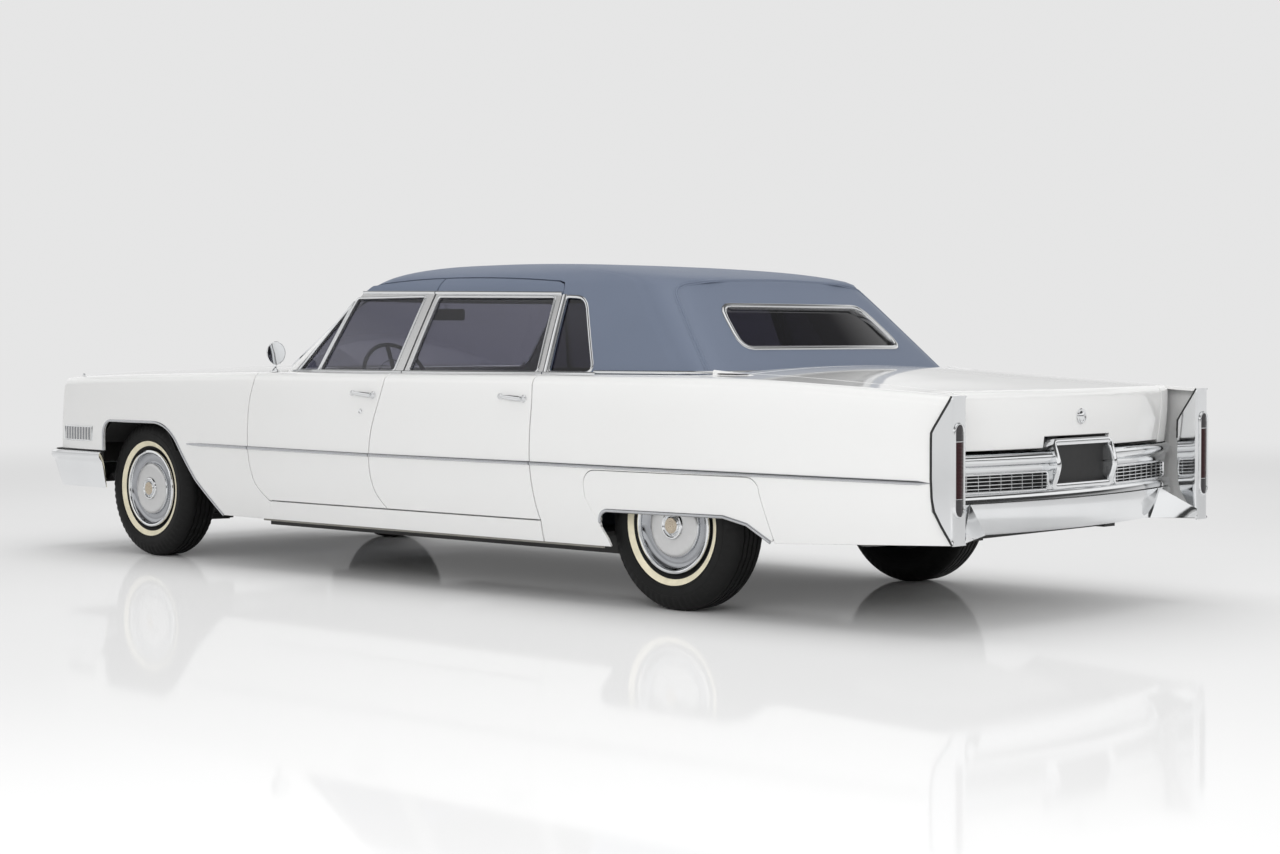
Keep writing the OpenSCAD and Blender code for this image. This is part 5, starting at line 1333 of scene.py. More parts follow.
# Wheels: black tyres with ribbed tread and a cream whitewall band, and plated covers with a polished dish.
# The tyre is turned with zigzag grooves; the cover is a set of turned rings with a fluted drum,
# pressed onto a steel rim.
tyre_half = (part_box("tyre_front_left")[1][1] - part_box("tyre_front_left")[0][1]) / 2
SIDEWALL = np.array([[0.1963, 0.061], [0.205, 0.071], [0.214, 0.079], [0.230, 0.0905], [0.250, 0.0985],
                     [0.2580, 0.1012], [0.2590, 0.1028], [0.2620, 0.1035], [0.2630, 0.1024], [0.270, 0.1045],
                     [0.285, tyre_half], [0.2960, 0.1062], [0.2970, 0.1050], [0.300, 0.1055], [0.318, 0.1015],
                     [0.334, 0.0945], [0.345, 0.0860], [0.3525, 0.0760], [0.3575, 0.0660]])
groove_at = (-0.042, -0.014, 0.014, 0.042)
tread = [(tyre_r - 0.0005, 0.060)]
for d in groove_at[::-1]:
    tread += [(tyre_r, d + 0.0045), (tyre_r - 0.008, d + 0.003), (tyre_r - 0.008, d - 0.003),
              (tyre_r, d - 0.0045)]
tread += [(tyre_r - 0.0005, -0.060)]
TYRE = ([(r, d) for r, d in SIDEWALL] + tread + [(r, -d) for r, d in SIDEWALL[::-1]]
        + [(0.1975, -0.055), (0.1975, 0.055)])
tread_rows = np.array([abs(d) < 0.050 and r > 0.34 for r, d in TYRE])
rib_rows = np.array([0.300 < r < 0.350 and abs(d) > 0.08 for r, d in TYRE])


def tyre_wave(step, p):
    zig = 0.0022 * (abs(step % 8 - 4) / 2 - 1)
    rib = 0.0030 * (step % 4 < 2)
    shift = np.where(tread_rows, zig, 0) - np.where(rib_rows, np.sign(p[:, 1]) * rib, 0)
    return np.column_stack([p[:, 0], p[:, 1] + shift])


def rubber(name, colour, low, high):
    dark, light = (tuple(c * share for c in colour) for share in (0.8, 1.25))
    return mottled(name, dark, light, low, high, 22, 5, grain=(500, 2, 0.1, 0.0005),
                   settings=(("Specular IOR Level", 0.25),))


TYRE_BLACK = rubber("tyre_rubber", (0.008, 0.008, 0.008), 0.52, 0.72)
WHITEWALL = rubber("whitewall_band", (0.80, 0.74, 0.56), 0.45, 0.6)
DISH = bright_metal("polished_dish", (0.34, 0.35, 0.37), (0.44, 0.45, 0.47), 0.03, 0.08, 20)
DISC = bright_metal("satin_disc", (0.62, 0.62, 0.62), (0.70, 0.70, 0.70), 0.26, 0.36, 40)
MEDALLION_METAL = bright_metal("plain_medallion", (0.50, 0.43, 0.34), (0.62, 0.54, 0.43), 0.22, 0.34, 60)
band_r = np.linspace(0.2265, 0.2525, 9)
band_d = np.interp(band_r, SIDEWALL[:, 0], SIDEWALL[:, 1])
BAND = list(zip(band_r, band_d - 0.004)) + list(zip(band_r[::-1], band_d[::-1] + 0.0014))
BAND[9] = (band_r[-1], band_d[-1] + 0.0002)
BAND[-1] = (band_r[0], band_d[0] + 0.0002)
RIM = [(0.026, -0.040), (0.060, -0.040), (0.062, 0.008), (0.150, 0.008), (0.152, -0.070), (0.160, -0.072),
       (0.162, 0.008), (0.175, 0.018), (0.181, -0.060), (0.2045, -0.078), (0.2075, -0.074), (0.196, -0.061),
       (0.196, 0.061), (0.203, 0.070), (0.198, 0.066), (0.186, 0.054), (0.130, 0.050), (0.026, 0.050)]
COVER_RING = [(0.190, 0.064), (0.206, 0.074), (0.208, 0.080), (0.207, 0.0865), (0.203, 0.0925),
              (0.197, 0.0950), (0.1915, 0.0925), (0.1885, 0.086), (0.1865, 0.075), (0.1855, 0.066)]
DISH_RING = [(0.130, 0.058), (0.192, 0.058), (0.1915, 0.0840), (0.1880, 0.0800), (0.1820, 0.0745),
             (0.1740, 0.0700), (0.1640, 0.0672), (0.1540, 0.0662), (0.1440, 0.0668), (0.1380, 0.0690),
             (0.130, 0.072)]
COVER_DISC = [(0.050, 0.070), (0.132, 0.070), (0.1345, 0.078), (0.1335, 0.0845), (0.130, 0.0875),
              (0.120, 0.0895), (0.095, 0.0925), (0.070, 0.0935), (0.060, 0.0925), (0.0565, 0.089),
              (0.050, 0.086)]
HUB_RING = [(0.046, 0.080), (0.058, 0.084), (0.0585, 0.093), (0.0555, 0.0985), (0.051, 0.0995),
            (0.047, 0.0965), (0.0445, 0.090)]
HUB_CAP = [(0, 0.078), (0.046, 0.080), (0.0455, 0.090), (0.040, 0.0925), (0.0375, 0.099), (0.034, 0.1015),
           (0, 0.1015)]
MEDALLION = [(0, 0.1000), (0.0335, 0.1000), (0.0335, 0.1020), (0.0315, 0.1030), (0.029, 0.1022),
             (0.020, 0.1030), (0.010, 0.1036), (0, 0.1038)]
DRUM = [(0.120, 0.064), (0.1385, 0.066), (0.1385, 0.0700), (0.1365, 0.0820), (0.1340, 0.0840),
        (0.120, 0.0840)]
flute_n = 72


def flute_wave(step, p):
    return np.column_stack([p[:, 0] - 0.0016 * (step % 2) * (p[:, 0] > 0.13), p[:, 1]])


for place, word, side, body in (("front", "left", 1, "wheel_fl"), ("front", "right", -1, "wheel_fr"),
                                ("rear", "left", 1, "wheel_rl"), ("rear", "right", -1, "wheel_rr")):
    middle = centre_of(f"tyre_{place}_{word}")
    axle = (0, side, 0)
    finish(lathe(f"tyre_tread_{place}_{word}", TYRE, middle, axle, 240, 30, tyre_wave), TYRE_BLACK, body,
           "tyre", f"tyre_{place}_{word}")
    finish(lathe(f"whitewall_{place}_{word}", BAND, middle, axle, 128), WHITEWALL, body, "tyre")
    finish(lathe(f"rim_{place}_{word}", RIM, middle, axle, 96), STAINLESS, body, "chrome",
           f"wheel_{place}_{word}")
    rings = [lathe("ring", p, middle, axle, 128) for p in (COVER_RING, HUB_RING, HUB_CAP)]
    finish(join(f"cover_rings_{place}_{word}", rings), CHROME, body, "chrome")
    finish(lathe(f"cover_dish_{place}_{word}", DISH_RING, middle, axle, 128), DISH, body, "chrome")
    finish(lathe(f"cover_disc_{place}_{word}", COVER_DISC, middle, axle, 128), DISC, body, "chrome")
    finish(lathe(f"medallion_{place}_{word}", MEDALLION, middle, axle, 64), MEDALLION_METAL, body, "chrome")
    finish(lathe(f"cover_drum_{place}_{word}", DRUM, middle, axle, 2 * flute_n, 60, flute_wave), CHROME, body,
           "chrome")

# Front bumper: one wide chromed blade wrapped round the nose to the wheel arches, under a black filler.
# It is a rolled section with a raised upper roll, on a square-shouldered path, bolted to the frame.
bumper_back_x, blade_half = front_axle_x + 0.343, half_w - 0.049
turn_out = np.radians(np.concatenate([[-90, -89.99], np.linspace(-89, 89, 120), [89.99, 90]]))
fore_share = np.abs(np.cos(turn_out)) ** (1 / 6)
side_share = np.sign(np.sin(turn_out)) * np.abs(np.sin(turn_out)) ** (1 / 6)
reach = nose_x - 0.026 - bumper_back_x
path = np.stack([bumper_back_x + reach * fore_share - 0.020 * side_share ** 2, blade_half * side_share], 1)
ways = np.gradient(path, axis=0)
ways = np.stack([ways[:, 1], -ways[:, 0]], 1) / (np.linalg.norm(ways, axis=1, keepdims=True) + 1e-9)
tuck = 0.35 + 0.65 * np.abs(ways[:, 0])
# Columns: distance out, height
BLADE = np.array([[-0.012, 0.5495], [0.004, 0.5505], [0.016, 0.5465], [0.0235, 0.5390], [0.0258, 0.5280],
                  [0.0245, 0.5170], [0.0180, 0.5070], [0.0105, 0.4995], [0.0060, 0.4930], [0.0045, 0.4850],
                  [-0.0020, 0.4650], [-0.0120, 0.4400], [-0.0230, 0.4150], [-0.0340, 0.3920],
                  [-0.0450, 0.3720], [-0.0540, 0.3580], [-0.0600, 0.3525], [-0.0680, 0.3530],
                  [-0.0500, 0.4020], [-0.0200, 0.4820], [-0.0160, 0.4960], [-0.0130, 0.5120]])
shift = np.where(BLADE[None, :, 0] < 0, BLADE[None, :, 0] * tuck[:, None], BLADE[None, :, 0])
heights = np.repeat(BLADE[None, :, 1:], len(path), 0)
rows = np.concatenate([path[:, None] + ways[:, None] * shift[..., None], heights], -1)
finish(grid_mesh("front_bumper_blade", rows, sharp=30), CHROME, "body", "chrome", "front_bumper")
FILLER = np.array([[-0.030, 0.5515], [-0.004, 0.5515], [-0.004, 0.5560], [-0.030, 0.5560]])
heights = np.repeat(FILLER[None, :, 1:], len(path), 0)
rows = np.concatenate([path[:, None] + ways[:, None] * FILLER[None, :, :1], heights], -1)
finish(grid_mesh("bumper_filler", rows), BLACK, "body", "dark_plastic")

# Grille and headlamps: a plated surround with a fine mesh of bars, and two round lamps stacked at each side.
# The bars are rolled strips over thin posts; each lamp is a pressed lens over a silvered bowl in a rim.
grille_x, grille_low, grille_tall, grille_edge = wing_front_x - 0.038, 0.562, 0.320, 0.026
mesh_half, lamp_y, lamp_r = half_w - 0.325, half_w - 0.209, 0.070
LAMP_HEIGHTS = (0.648, 0.800)
OUT_FRONT = (1, 0, 0)
surround_half = half_w - 0.113
mesh_hole = round_corners(rectangle(-mesh_half, grille_low + grille_edge, mesh_half,
                                    grille_low + grille_tall - grille_edge), 0.020)
lamp_holes = [arc(side * lamp_y, z, lamp_r + 0.004, np.arange(0, 360, 9))
              for _, side in SIDES for z in LAMP_HEIGHTS]
outline = round_corners(rectangle(-surround_half, grille_low + 0.002, surround_half,
                                  grille_low + grille_tall - 0.002), 0.024)
surround = panel("grille_surround", outline, flat(0, grille_x + 0.033), OUT_FRONT, spacing=0.014, depth=0.030,
                 edge=0.006, holes=[mesh_hole, *lamp_holes])
finish(surround, CHROME, "body", "chrome", "grille")
# The black sheet behind the mesh is painted shade for the dark space inside the grille.
back = panel("grille_shade", rectangle(-mesh_half, 0.590, mesh_half, 0.854),
             flat(0, grille_x + 0.0035), OUT_FRONT, spacing=0.05, depth=0.003)
finish(back, BLACK, "body", "dark_plastic")
bars = []
for k in range(1, 8):
    z = grille_low + grille_edge + k * (grille_tall - 2 * grille_edge) / 8
    path = np.linspace((grille_x + 0.020, -mesh_half, z), (grille_x + 0.020, mesh_half, z), 12)
    bars.append(sweep("bar", path, OUT_FRONT, bead(0.0085, 0.0085, 0.012)))
for k in range(1, 24):
    y = -mesh_half + k * 2 * mesh_half / 24
    path = np.linspace((grille_x + 0.016, y, 0.588), (grille_x + 0.016, y, 0.856), 4)
    bars.append(sweep("post", path, OUT_FRONT, bead(0.0055, 0.0055, 0.010)))
plated(join("grille_mesh_bars", bars))
path = np.stack([np.full(30, grille_x + 0.033), np.linspace(-surround_half + 0.06, surround_half - 0.06, 30),
                 np.full(30, 0.724)], 1)
path = path[np.abs(path[:, 1]) < mesh_half + 0.01]
plated(sweep("grille_main_bar", path, OUT_FRONT, bead(0.026, 0.010, 0.008)))


def lens_glass(name, colour):
    """Clear pressed glass with upright flutes."""
    m, nodes, links, bsdf = shader(name, colour, 0.06)
    put(bsdf, {"Transmission Weight": 0.75, "IOR": 1.48})
    ribs = flutes(nodes, links, "Y", 26)
    bump(nodes, links, bsdf, ribs, 0.35, 0.002)
    spread(nodes, links, ribs, 0.04, 0.12, bsdf.inputs["Roughness"])
    return m


CLEAR_LENS = lens_glass("fluted_lamp_glass", (0.92, 0.94, 0.95))
SILVERED = bright_metal("silvered_bowl", (0.80, 0.80, 0.80), (0.88, 0.88, 0.88), 0.08, 0.16, 20)
LAMP_RIM = [(0.0735, -0.036), (0.0735, 0.012), (0.0720, 0.0185), (0.0680, 0.0205), (0.0645, 0.0170),
            (0.0625, 0.0120), (0.0600, 0.0090), (0.0600, -0.036)]
LAMP_BOWL = [(0, -0.035), (0.020, -0.034), (0.040, -0.026), (0.055, -0.012), (0.0605, 0.006), (0.0605, 0.009),
             (0.054, -0.009), (0.039, -0.022), (0.020, -0.030), (0, -0.031)]
LAMP_LENS = [(0, 0.0235), (0.020, 0.0225), (0.040, 0.0190), (0.054, 0.0140), (0.0605, 0.0095),
             (0.0605, 0.0065), (0.040, 0.0150), (0.020, 0.0185), (0, 0.0195)]
for word, side in SIDES:
    for place, z in zip(("low", "high"), LAMP_HEIGHTS):
        at_lamp = (grille_x, side * lamp_y, z)
        rim = lathe(f"headlamp_rim_{place}_{word}", LAMP_RIM, at_lamp, OUT_FRONT, 72)
        finish(rim, CHROME, "body", "chrome", "headlamps" if side > 0 and place == "low" else None)
        finish(lathe(f"headlamp_bowl_{place}_{word}", LAMP_BOWL, at_lamp, OUT_FRONT, 72), SILVERED, "body",
               "chrome")
        finish(lathe(f"headlamp_lens_{place}_{word}", LAMP_LENS, at_lamp, OUT_FRONT, 72), CLEAR_LENS, "body",
               "clear_lamp")

# Cornering lamps: a grey lens in each wing behind ten upright bright ribs in a thin plated frame.
# The lens lies just proud of the wing; a small turned tell-tale stands on top of each wing.
lamp_aft, lamp_fore, lamp_foot, lamp_top = front_axle_x + 0.410, front_axle_x + 0.715, 0.608, 0.682
TELL_TALE = [(0, -0.002), (0.0085, -0.002), (0.0085, 0.006), (0.0070, 0.011), (0.0040, 0.014), (0, 0.015)]
proud_side = sunk(side_surface, -0.0012, (0, 1, 0))
CORNER_LENS = lamp_glass("grey_corner_lens", (0.30, 0.31, 0.33), 0.12)
for word, side in SIDES:
    outline = rectangle(lamp_aft, lamp_foot, lamp_fore, lamp_top)
    lens = panel(f"corner_lens_{word}", outline, proud_side, OUT_LEFT, spacing=0.02, depth=0.006, edge=0.001,
                 side=side)
    finish(lens, CORNER_LENS, "body", "clear_lamp", "corner_lamps" if side > 0 else None)
    ring = densify(np.array(outline), 0.02)
    strip(f"corner_lamp_frame_{word}", np.concatenate([ring, ring[:2]]), bead(0.008, 0.0045), "body", side,
          on_side)
    ribs = []
    for k in range(10):
        x = lamp_aft + (lamp_fore - lamp_aft) * (k + 0.5) / 10
        line = np.column_stack([np.full(5, x), np.linspace(lamp_foot, lamp_top, 5)])
        p, n = on_side(line)
        ribs.append(sweep("rib", p, n, bead(0.014, 0.0042), side=side))
    finish(join(f"corner_lamp_ribs_{word}", ribs), STAINLESS, "body", "chrome")
    tell_x, tell_y = front_axle_x + 0.592, 0.905
    base_z = float(deck_z(tell_x, tell_y))
    tell = lathe(f"turn_tell_tale_{word}", TELL_TALE, (tell_x, side * tell_y, base_z), (-0.2, 0, 1), 32)
    plated(tell)

# Inner body: bulkhead and door posts ahead of the cabin, the panel across the tail, bracing under both lids.
# Pressed steel in the body's white, with swages rolled into the flat sheets, spot-welded in place.
def swaged(axis, place, pitch, rise, way):
    """Flat sheet with a row of shallow swages along its first coordinate."""
    base = flat(axis, place)

    def surface(u, v):
        p = base(u, v)
        p[..., axis] += way * rise * np.maximum(0, np.cos(2 * math.pi * u / pitch)) ** 2
        return p
    return surface


post_y = half_w - 0.225
floor_z = 0.308
sheet_x = front_door_x - 0.041
outline = rectangle(-post_y + 0.084, floor_z + 0.130, post_y - 0.084, 0.944)
finish(panel("bulkhead", outline, swaged(0, sheet_x, 0.19, 0.004, -1), OUT_FRONT, spacing=0.02, depth=0.014),
       PAINT, "body", "paint")
for word, side in SIDES:
    outline = rectangle(front_door_x - 0.128, floor_z + 0.002, front_door_x - 0.042, 0.972)
    post = panel(f"door_post_{word}", outline, flat(1, post_y + 0.067), (0, 1, 0), spacing=0.03, depth=0.064,
                 edge=0.005, side=side)
    finish(post, PAINT, "body", "paint")
    outline = rectangle(front_door_x - 0.118, 0.432, front_door_x - 0.082, 0.478)
    hinge_y = float(side_y(front_door_x - 0.100, 0.455)) - 0.082
    bracket = panel(f"hinge_bracket_{word}", outline, flat(1, hinge_y), (0, 1, 0), spacing=0.02,
                    depth=hinge_y - post_y - 0.060, edge=0.004, side=side)
    finish(bracket, PRIMER, "body", "chassis_steel")
outline = rectangle(-pod_y + 0.047, 0.387, pod_y - 0.047, 0.673)
finish(panel("tail_inner_panel", outline, swaged(0, tail_x + 0.192, 0.26, 0.003, 1), (-1, 0, 0), spacing=0.02,
             depth=0.012), PAINT, "body", "paint")
BRACE = [(-0.030, 0.0), (0.030, 0.0), (0.022, -0.0055), (-0.022, -0.0055)]


def brace(name, outline, surface, body, deep):
    """Ring of folded channel under a lid, and two more across it."""
    ring = densify(inset(anticlockwise(outline), 0.075), 0.03)
    pieces = [sweep("ring", surface(*ring.T) - np.array([0, 0, deep]), OUT_UP, BRACE, loop=True)]
    for f in (0.36, 0.68):
        low, high = ring.min(0), ring.max(0)
        v = np.linspace(low[1] + 0.02, high[1] - 0.02, 30)
        u = np.full(30, low[0] + (high[0] - low[0]) * f)
        pieces.append(sweep("rail", surface(u, v) - np.array([0, 0, deep]), OUT_UP, BRACE))
    return finish(join(name, pieces), PAINT, body, "paint")


outline = [(bonnet_rear(y), y) for y in across_ys[::-1]] + [(bonnet_front(y) - 0.05, y) for y in across_ys]
brace("bonnet_brace", outline, bonnet_surface, "bonnet", 0.0175)
flat_end = float(fold(0.0)[0]) - 0.06
brace("boot_lid_brace", [(0.002, lid_half), (0.002, -lid_half), (flat_end, -lid_half), (flat_end, lid_half)],
      boot_surface, "boot", 0.0175)

# Trim: door cards with an armrest and plated winder, and carpet on the floor.
# The cards are pleated cloth over board, clipped to the doors; the carpet is cut pile.
def woven(name, dark, light, scale):
    """Woven cloth: fine threads and soft fading."""
    m, nodes, links, bsdf = shader(name, light, 0.85)
    put(bsdf, {"Sheen Weight": 0.25})
    fade = noise(nodes, links, 9, 4)
    spread(nodes, links, fade.outputs["Fac"], dark, light, bsdf.inputs["Base Color"])
    thread = noise(nodes, links, scale, 2, (1, 1, 6))
    spread(nodes, links, thread.outputs["Fac"], 0.72, 0.95, bsdf.inputs["Roughness"])
    bump(nodes, links, bsdf, thread.outputs["Fac"], 0.25, 0.001)
    return m


SEAT_CLOTH = woven("blue_grey_cloth", (0.085, 0.105, 0.150), (0.125, 0.150, 0.205), 420)
CARD_CLOTH = woven("blue_grey_card", (0.110, 0.130, 0.175), (0.145, 0.170, 0.220), 360)
CARPET = woven("cut_pile_carpet", (0.050, 0.060, 0.085), (0.085, 0.100, 0.130), 700)
WINDER_HUB = [(0, 0), (0.022, 0), (0.020, 0.006), (0.010, 0.014), (0, 0.016)]
WINDER_KNOB = [(0, 0.006), (0.011, 0.008), (0.013, 0.018), (0.011, 0.030), (0, 0.034)]


def card_face(x, z):
    pleat = 0.0025 * np.abs(np.sin(math.pi * x / 0.055)) * ((z > 0.50) & (z < 0.80))
    return np.stack([x, side_y(x, z) - 0.0735 - pleat, z], -1)


for word, side in SIDES:
    for place, first, last in (("front", 1, 2), ("rear", 2, 3)):
        fore, aft = float(shut_x(first, 0.45)) - 0.070, float(shut_x(last, 0.70)) + 0.075
        outline = round_corners(rectangle(aft, door_z + 0.040, fore, 0.905), 0.050)
        board = panel(f"door_card_{place}_{word}", outline, card_face, (0, -1, 0), spacing=0.012,
                      depth=0.0125, edge=0.004, side=side)
        finish(board, CARD_CLOTH, DOOR_BODY[place, side], "cabin_trim")
        x = np.linspace(aft + 0.10, fore - 0.22, 24)
        path = np.stack([x, side_y(x, 0.66) - 0.074, np.full(24, 0.655)], 1)
        rest = sweep(f"armrest_{place}_{word}", path, (0, -1, 0), bead(0.060, 0.046, 0.003, 12),
                     taper=(0.10, 0.10), side=side)
        finish(rest, SEAT_CLOTH, DOOR_BODY[place, side], "cabin_trim")
        bx = (fore + aft) / 2 + 0.12
        hub_at = (bx, side * (float(side_y(bx, 0.58)) - 0.072), 0.580)
        hub = lathe("hub", WINDER_HUB, hub_at, (0, -side, 0), 32)
        knob_at = (bx - 0.075, hub_at[1], 0.560)
        knob = lathe("knob", WINDER_KNOB, knob_at, (0, -side, 0), 28)
        line = np.linspace(hub_at, knob_at, 6) - np.array([0, side * 0.010, 0])
        arm = sweep("arm", line, (0, -side, 0), bead(0.012, 0.004))
        finish(join(f"window_winder_{place}_{word}", [hub, knob, arm]), CHROME, DOOR_BODY[place, side],
               "chrome")


def over_tunnel(height, radius):
    """Level sheet that humps over the shaft tunnel."""
    def surface(x, y):
        hump = 0.290 + np.sqrt(np.maximum(0, radius ** 2 - y ** 2))
        return np.stack([x, y, np.maximum(height, hump)], -1)
    return surface


carpet_half = half_w - 0.240
for name, aft, fore in (("front_carpet", centre_door_x + 0.615, front_door_x - 0.062),
                        ("rear_carpet", rear_axle_x + 0.880, centre_door_x - 0.140)):
    outline = rectangle(aft, -carpet_half, fore, carpet_half)
    finish(panel(name, outline, over_tunnel(0.3115, 0.127), OUT_UP, spacing=0.018, depth=0.003), CARPET,
           "body", "cabin_trim")

# Seats: a full-width front bench and a rear bench, sprung cushions in pleated blue-grey cloth on a plinth.
# Each cushion is a stuffed cover: its section is swept across the car and pulled in at every pleat.
def superellipse(a, power):
    """Square-shouldered round: cosine and sine of the angles, raised to a power."""
    return (np.sign(np.cos(a)) * np.abs(np.cos(a)) ** power, np.sign(np.sin(a)) * np.abs(np.sin(a)) ** power)


def cushion(name, half, x0, x1, z0, z1, crown, lean, pleat_n, node=None):
    """Stuffed bench piece across the car, with rounded edges, pulled-in pleats and a soft crown."""
    ys = np.linspace(-half, half, 168)
    edge = 0.045
    a = np.linspace(0, 2 * math.pi, 56, endpoint=False)
    # Superellipse section, so that the edges are round and the faces nearly flat
    cx, cz = superellipse(a, 0.42)
    rows = []
    for y in ys:
        end = np.clip((half - abs(y)) / edge, 0, 1)
        swell = math.sqrt(max(0.0, 1 - (1 - end) ** 2))
        pleat = 1 - 0.16 * (1 - abs(math.sin(math.pi * pleat_n * (y + half) / (2 * half))) ** 0.45)
        rx, rz = (x1 - x0) / 2, (z1 - z0) / 2
        soft = 0.55 + 0.45 * swell
        x = (x0 + x1) / 2 + rx * cx * soft - lean * (cz + 1) / 2
        pull = np.where((cz if crown == "z" else cx) > 0.2, pleat, 1)
        if crown == "z":
            z = (z0 + z1) / 2 + rz * cz * soft * (0.955 + 0.045 * np.cos(cx * 1.3)) - 0.05 * (1 - pull)
        else:
            z = (z0 + z1) / 2 + rz * cz * soft
            x = x - 0.06 * (1 - pull) - 0.010 * np.abs(cz) ** 3 * (cx > 0.2)
        rows.append(np.stack([x, np.full(56, y), z], 1))
    piece = grid_mesh(name, rows, sharp=60)
    finish(piece, SEAT_CLOTH, "body", "seat_cloth", node)


bench_x = b_low_x + 0.060
seat_half, rear_half = half_w - 0.295, boot_half - 0.105
cushion("front_cushion", seat_half, bench_x + 0.170, bench_x + 0.638, 0.420, 0.558, "z", 0.0, 22,
        "front_seat")
cushion("front_backrest", seat_half, bench_x + 0.004, bench_x + 0.178, 0.430, 0.878, "x", 0.030, 22)
cushion("rear_cushion", rear_half, rear_axle_x + 0.450, rear_axle_x + 0.868, 0.430, 0.570, "z", 0.0, 20,
        "rear_seat")
cushion("rear_backrest", rear_half, rear_axle_x + 0.250, rear_axle_x + 0.476, 0.525, 0.958, "x", 0.060, 20)
for name, half, aft, fore in (("front_plinth", seat_half - 0.02, bench_x + 0.006, bench_x + 0.610),
                              ("rear_plinth", rear_half - 0.01, rear_axle_x + 0.444, rear_axle_x + 0.856)):
    outline = rectangle(aft, -half, fore, half)
    finish(panel(name, outline, over_tunnel(0.432, 0.129), OUT_UP, spacing=0.03, depth=0.118, edge=0.006),
           CARPET, "body", "cabin_trim")

# Dashboard and partition: a padded brow over a bright instrument strip, and the wall behind the front seat.
# The dash is one formed pad across the car; the wall is board trimmed in cloth, capped with a plated rail.
PAD = mottled("soft_dash_pad", (0.055, 0.065, 0.090), (0.080, 0.092, 0.120), 0.55, 0.72, 160, 4)
dash_half = post_y - 0.024
# Columns: x, z of the dash section, from the foot at the bulkhead round the face and the brow
DASH = np.array([[1.084, 0.762], [0.860, 0.762], [0.800, 0.772], [0.772, 0.795], [0.778, 0.812],
                 [0.806, 0.820], [0.812, 0.870], [0.776, 0.876], [0.756, 0.886], [0.747, 0.896],
                 [0.756, 0.905], [0.800, 0.9095], [0.950, 0.9085], [1.084, 0.900]])
dash_ring = densify(DASH, 0.02)
ys = np.linspace(-dash_half, dash_half, 60)
rows = []
for y in ys:
    swept = dash_ring[:, 0] + 0.020 * (y / dash_half) ** 4 * (dash_ring[:, 0] < 0.95)
    rows.append(np.column_stack([swept, np.full(len(dash_ring), y), dash_ring[:, 1]]))
finish(grid_mesh("dash_pad", rows, sharp=40), PAD, "body", "cabin_trim", "dashboard")
outline = round_corners(rectangle(-dash_half + 0.06, 0.826, dash_half - 0.06, 0.864), 0.012)
finish(panel("instrument_strip", outline, flat(0, 0.8035), (-1, 0, 0), spacing=0.02, depth=0.010), STAINLESS,
       "body", "chrome")
DIAL_RIM = [(0.018, -0.004), (0.018, 0.006), (0.0155, 0.0075), (0.0140, 0.004), (0.0140, -0.004)]
DIAL_FACE = [(0, -0.003), (0.0142, -0.003), (0.0142, 0.002), (0, 0.003)]
dial_pieces, dial_faces = [], []
for y in (0.300, 0.420, 0.540, 0.0, -0.080):
    at_dial = (0.803, y, 0.845)
    dial_pieces.append(lathe("dial_rim", DIAL_RIM, at_dial, (-1, 0, 0), 36))
    dial_faces.append(lathe("dial_face", DIAL_FACE, at_dial, (-1, 0, 0), 36))
plated(join("dial_rims", dial_pieces))
finish(join("dial_faces", dial_faces), BLACK, "body", "dark_plastic")
column_at = np.array([front_door_x - 0.460, 0.420, 0.930])
tilt = math.radians(112)
column_way = np.array([math.sin(tilt), 0, math.cos(tilt)])
SLEEVE = [(0.0185, 0.041), (0.030, 0.041), (0.032, 0.048), (0.032, 0.150), (0.0315, 0.200), (0.0185, 0.200)]
finish(lathe("column_sleeve", SLEEVE, column_at, column_way, 48), PAD, "body", "cabin_trim")
wall_x = b_low_x - 0.020
outline = rectangle(-post_y + 0.007, floor_z + 0.126, post_y - 0.007, 0.930)
wall = panel("partition_wall", outline, swaged(0, wall_x - 0.014, 0.12, 0.004, -1), (-1, 0, 0), spacing=0.02,
             depth=0.026, edge=0.006)
finish(wall, CARD_CLOTH, "body", "cabin_trim", "partition")
path = np.linspace((wall_x, -post_y + 0.008, 0.930), (wall_x, post_y - 0.008, 0.930), 20)
plated(sweep("partition_rail", path, OUT_UP, bead(0.036, 0.017, 0.003, 12)))

# Steering wheel: a thin moulded rim on two spokes, with a plated horn ring.
# Rim and hub are turned about the column, the rim notched for the fingers, and fixed on the column's shaft.
RIM_BLUE = mottled("moulded_rim", (0.060, 0.070, 0.100), (0.085, 0.098, 0.130), 0.25, 0.40, 60, 4)


def hoop(radius, thick, along_axis, steps=14):
    a = np.linspace(0, 2 * math.pi, steps, endpoint=False)
    return [(radius + thick * math.cos(t), along_axis + thick * math.sin(t)) for t in a]


def finger_wave(step, p):
    return np.column_stack([p[:, 0] + np.where(p[:, 0] < 0.205, 0.0012 * (step % 3 == 0), 0), p[:, 1]])


rim = lathe("rim", hoop(0.205, 0.0105, 0), column_at, column_way, 120, 60, finger_wave)
WHEEL_HUB = [(0, -0.014), (0.030, -0.013), (0.038, -0.006), (0.040, 0.006), (0.036, 0.014), (0.017, 0.016),
             (0.0165, 0.118), (0, 0.118)]
SPOKE = [(-0.012, -0.004), (0.012, -0.004), (0.010, 0.004), (-0.010, 0.004)]
HORN_CAP = [(0, -0.020), (0.020, -0.019), (0.028, -0.014), (0.030, -0.008), (0, -0.008)]
hub = lathe("hub", WHEEL_HUB, column_at, column_way, 48)
wheel_up = np.cross((0, 1.0, 0), column_way)
spokes = []
for way in (-1, 1):
    run = np.linspace(0.030, 0.200, 10)
    path = column_at + np.outer(run, wheel_up) * way
    spokes.append(sweep("spoke", path, -column_way, SPOKE))
finish(join("steering_rim", [rim, hub, *spokes]), RIM_BLUE, "steering", "dark_plastic", "steering_wheel")
ring = lathe("horn_ring", hoop(0.120, 0.0035, -0.004, 10), column_at, column_way, 80)
cap = lathe("horn_cap", HORN_CAP, column_at, column_way, 48)
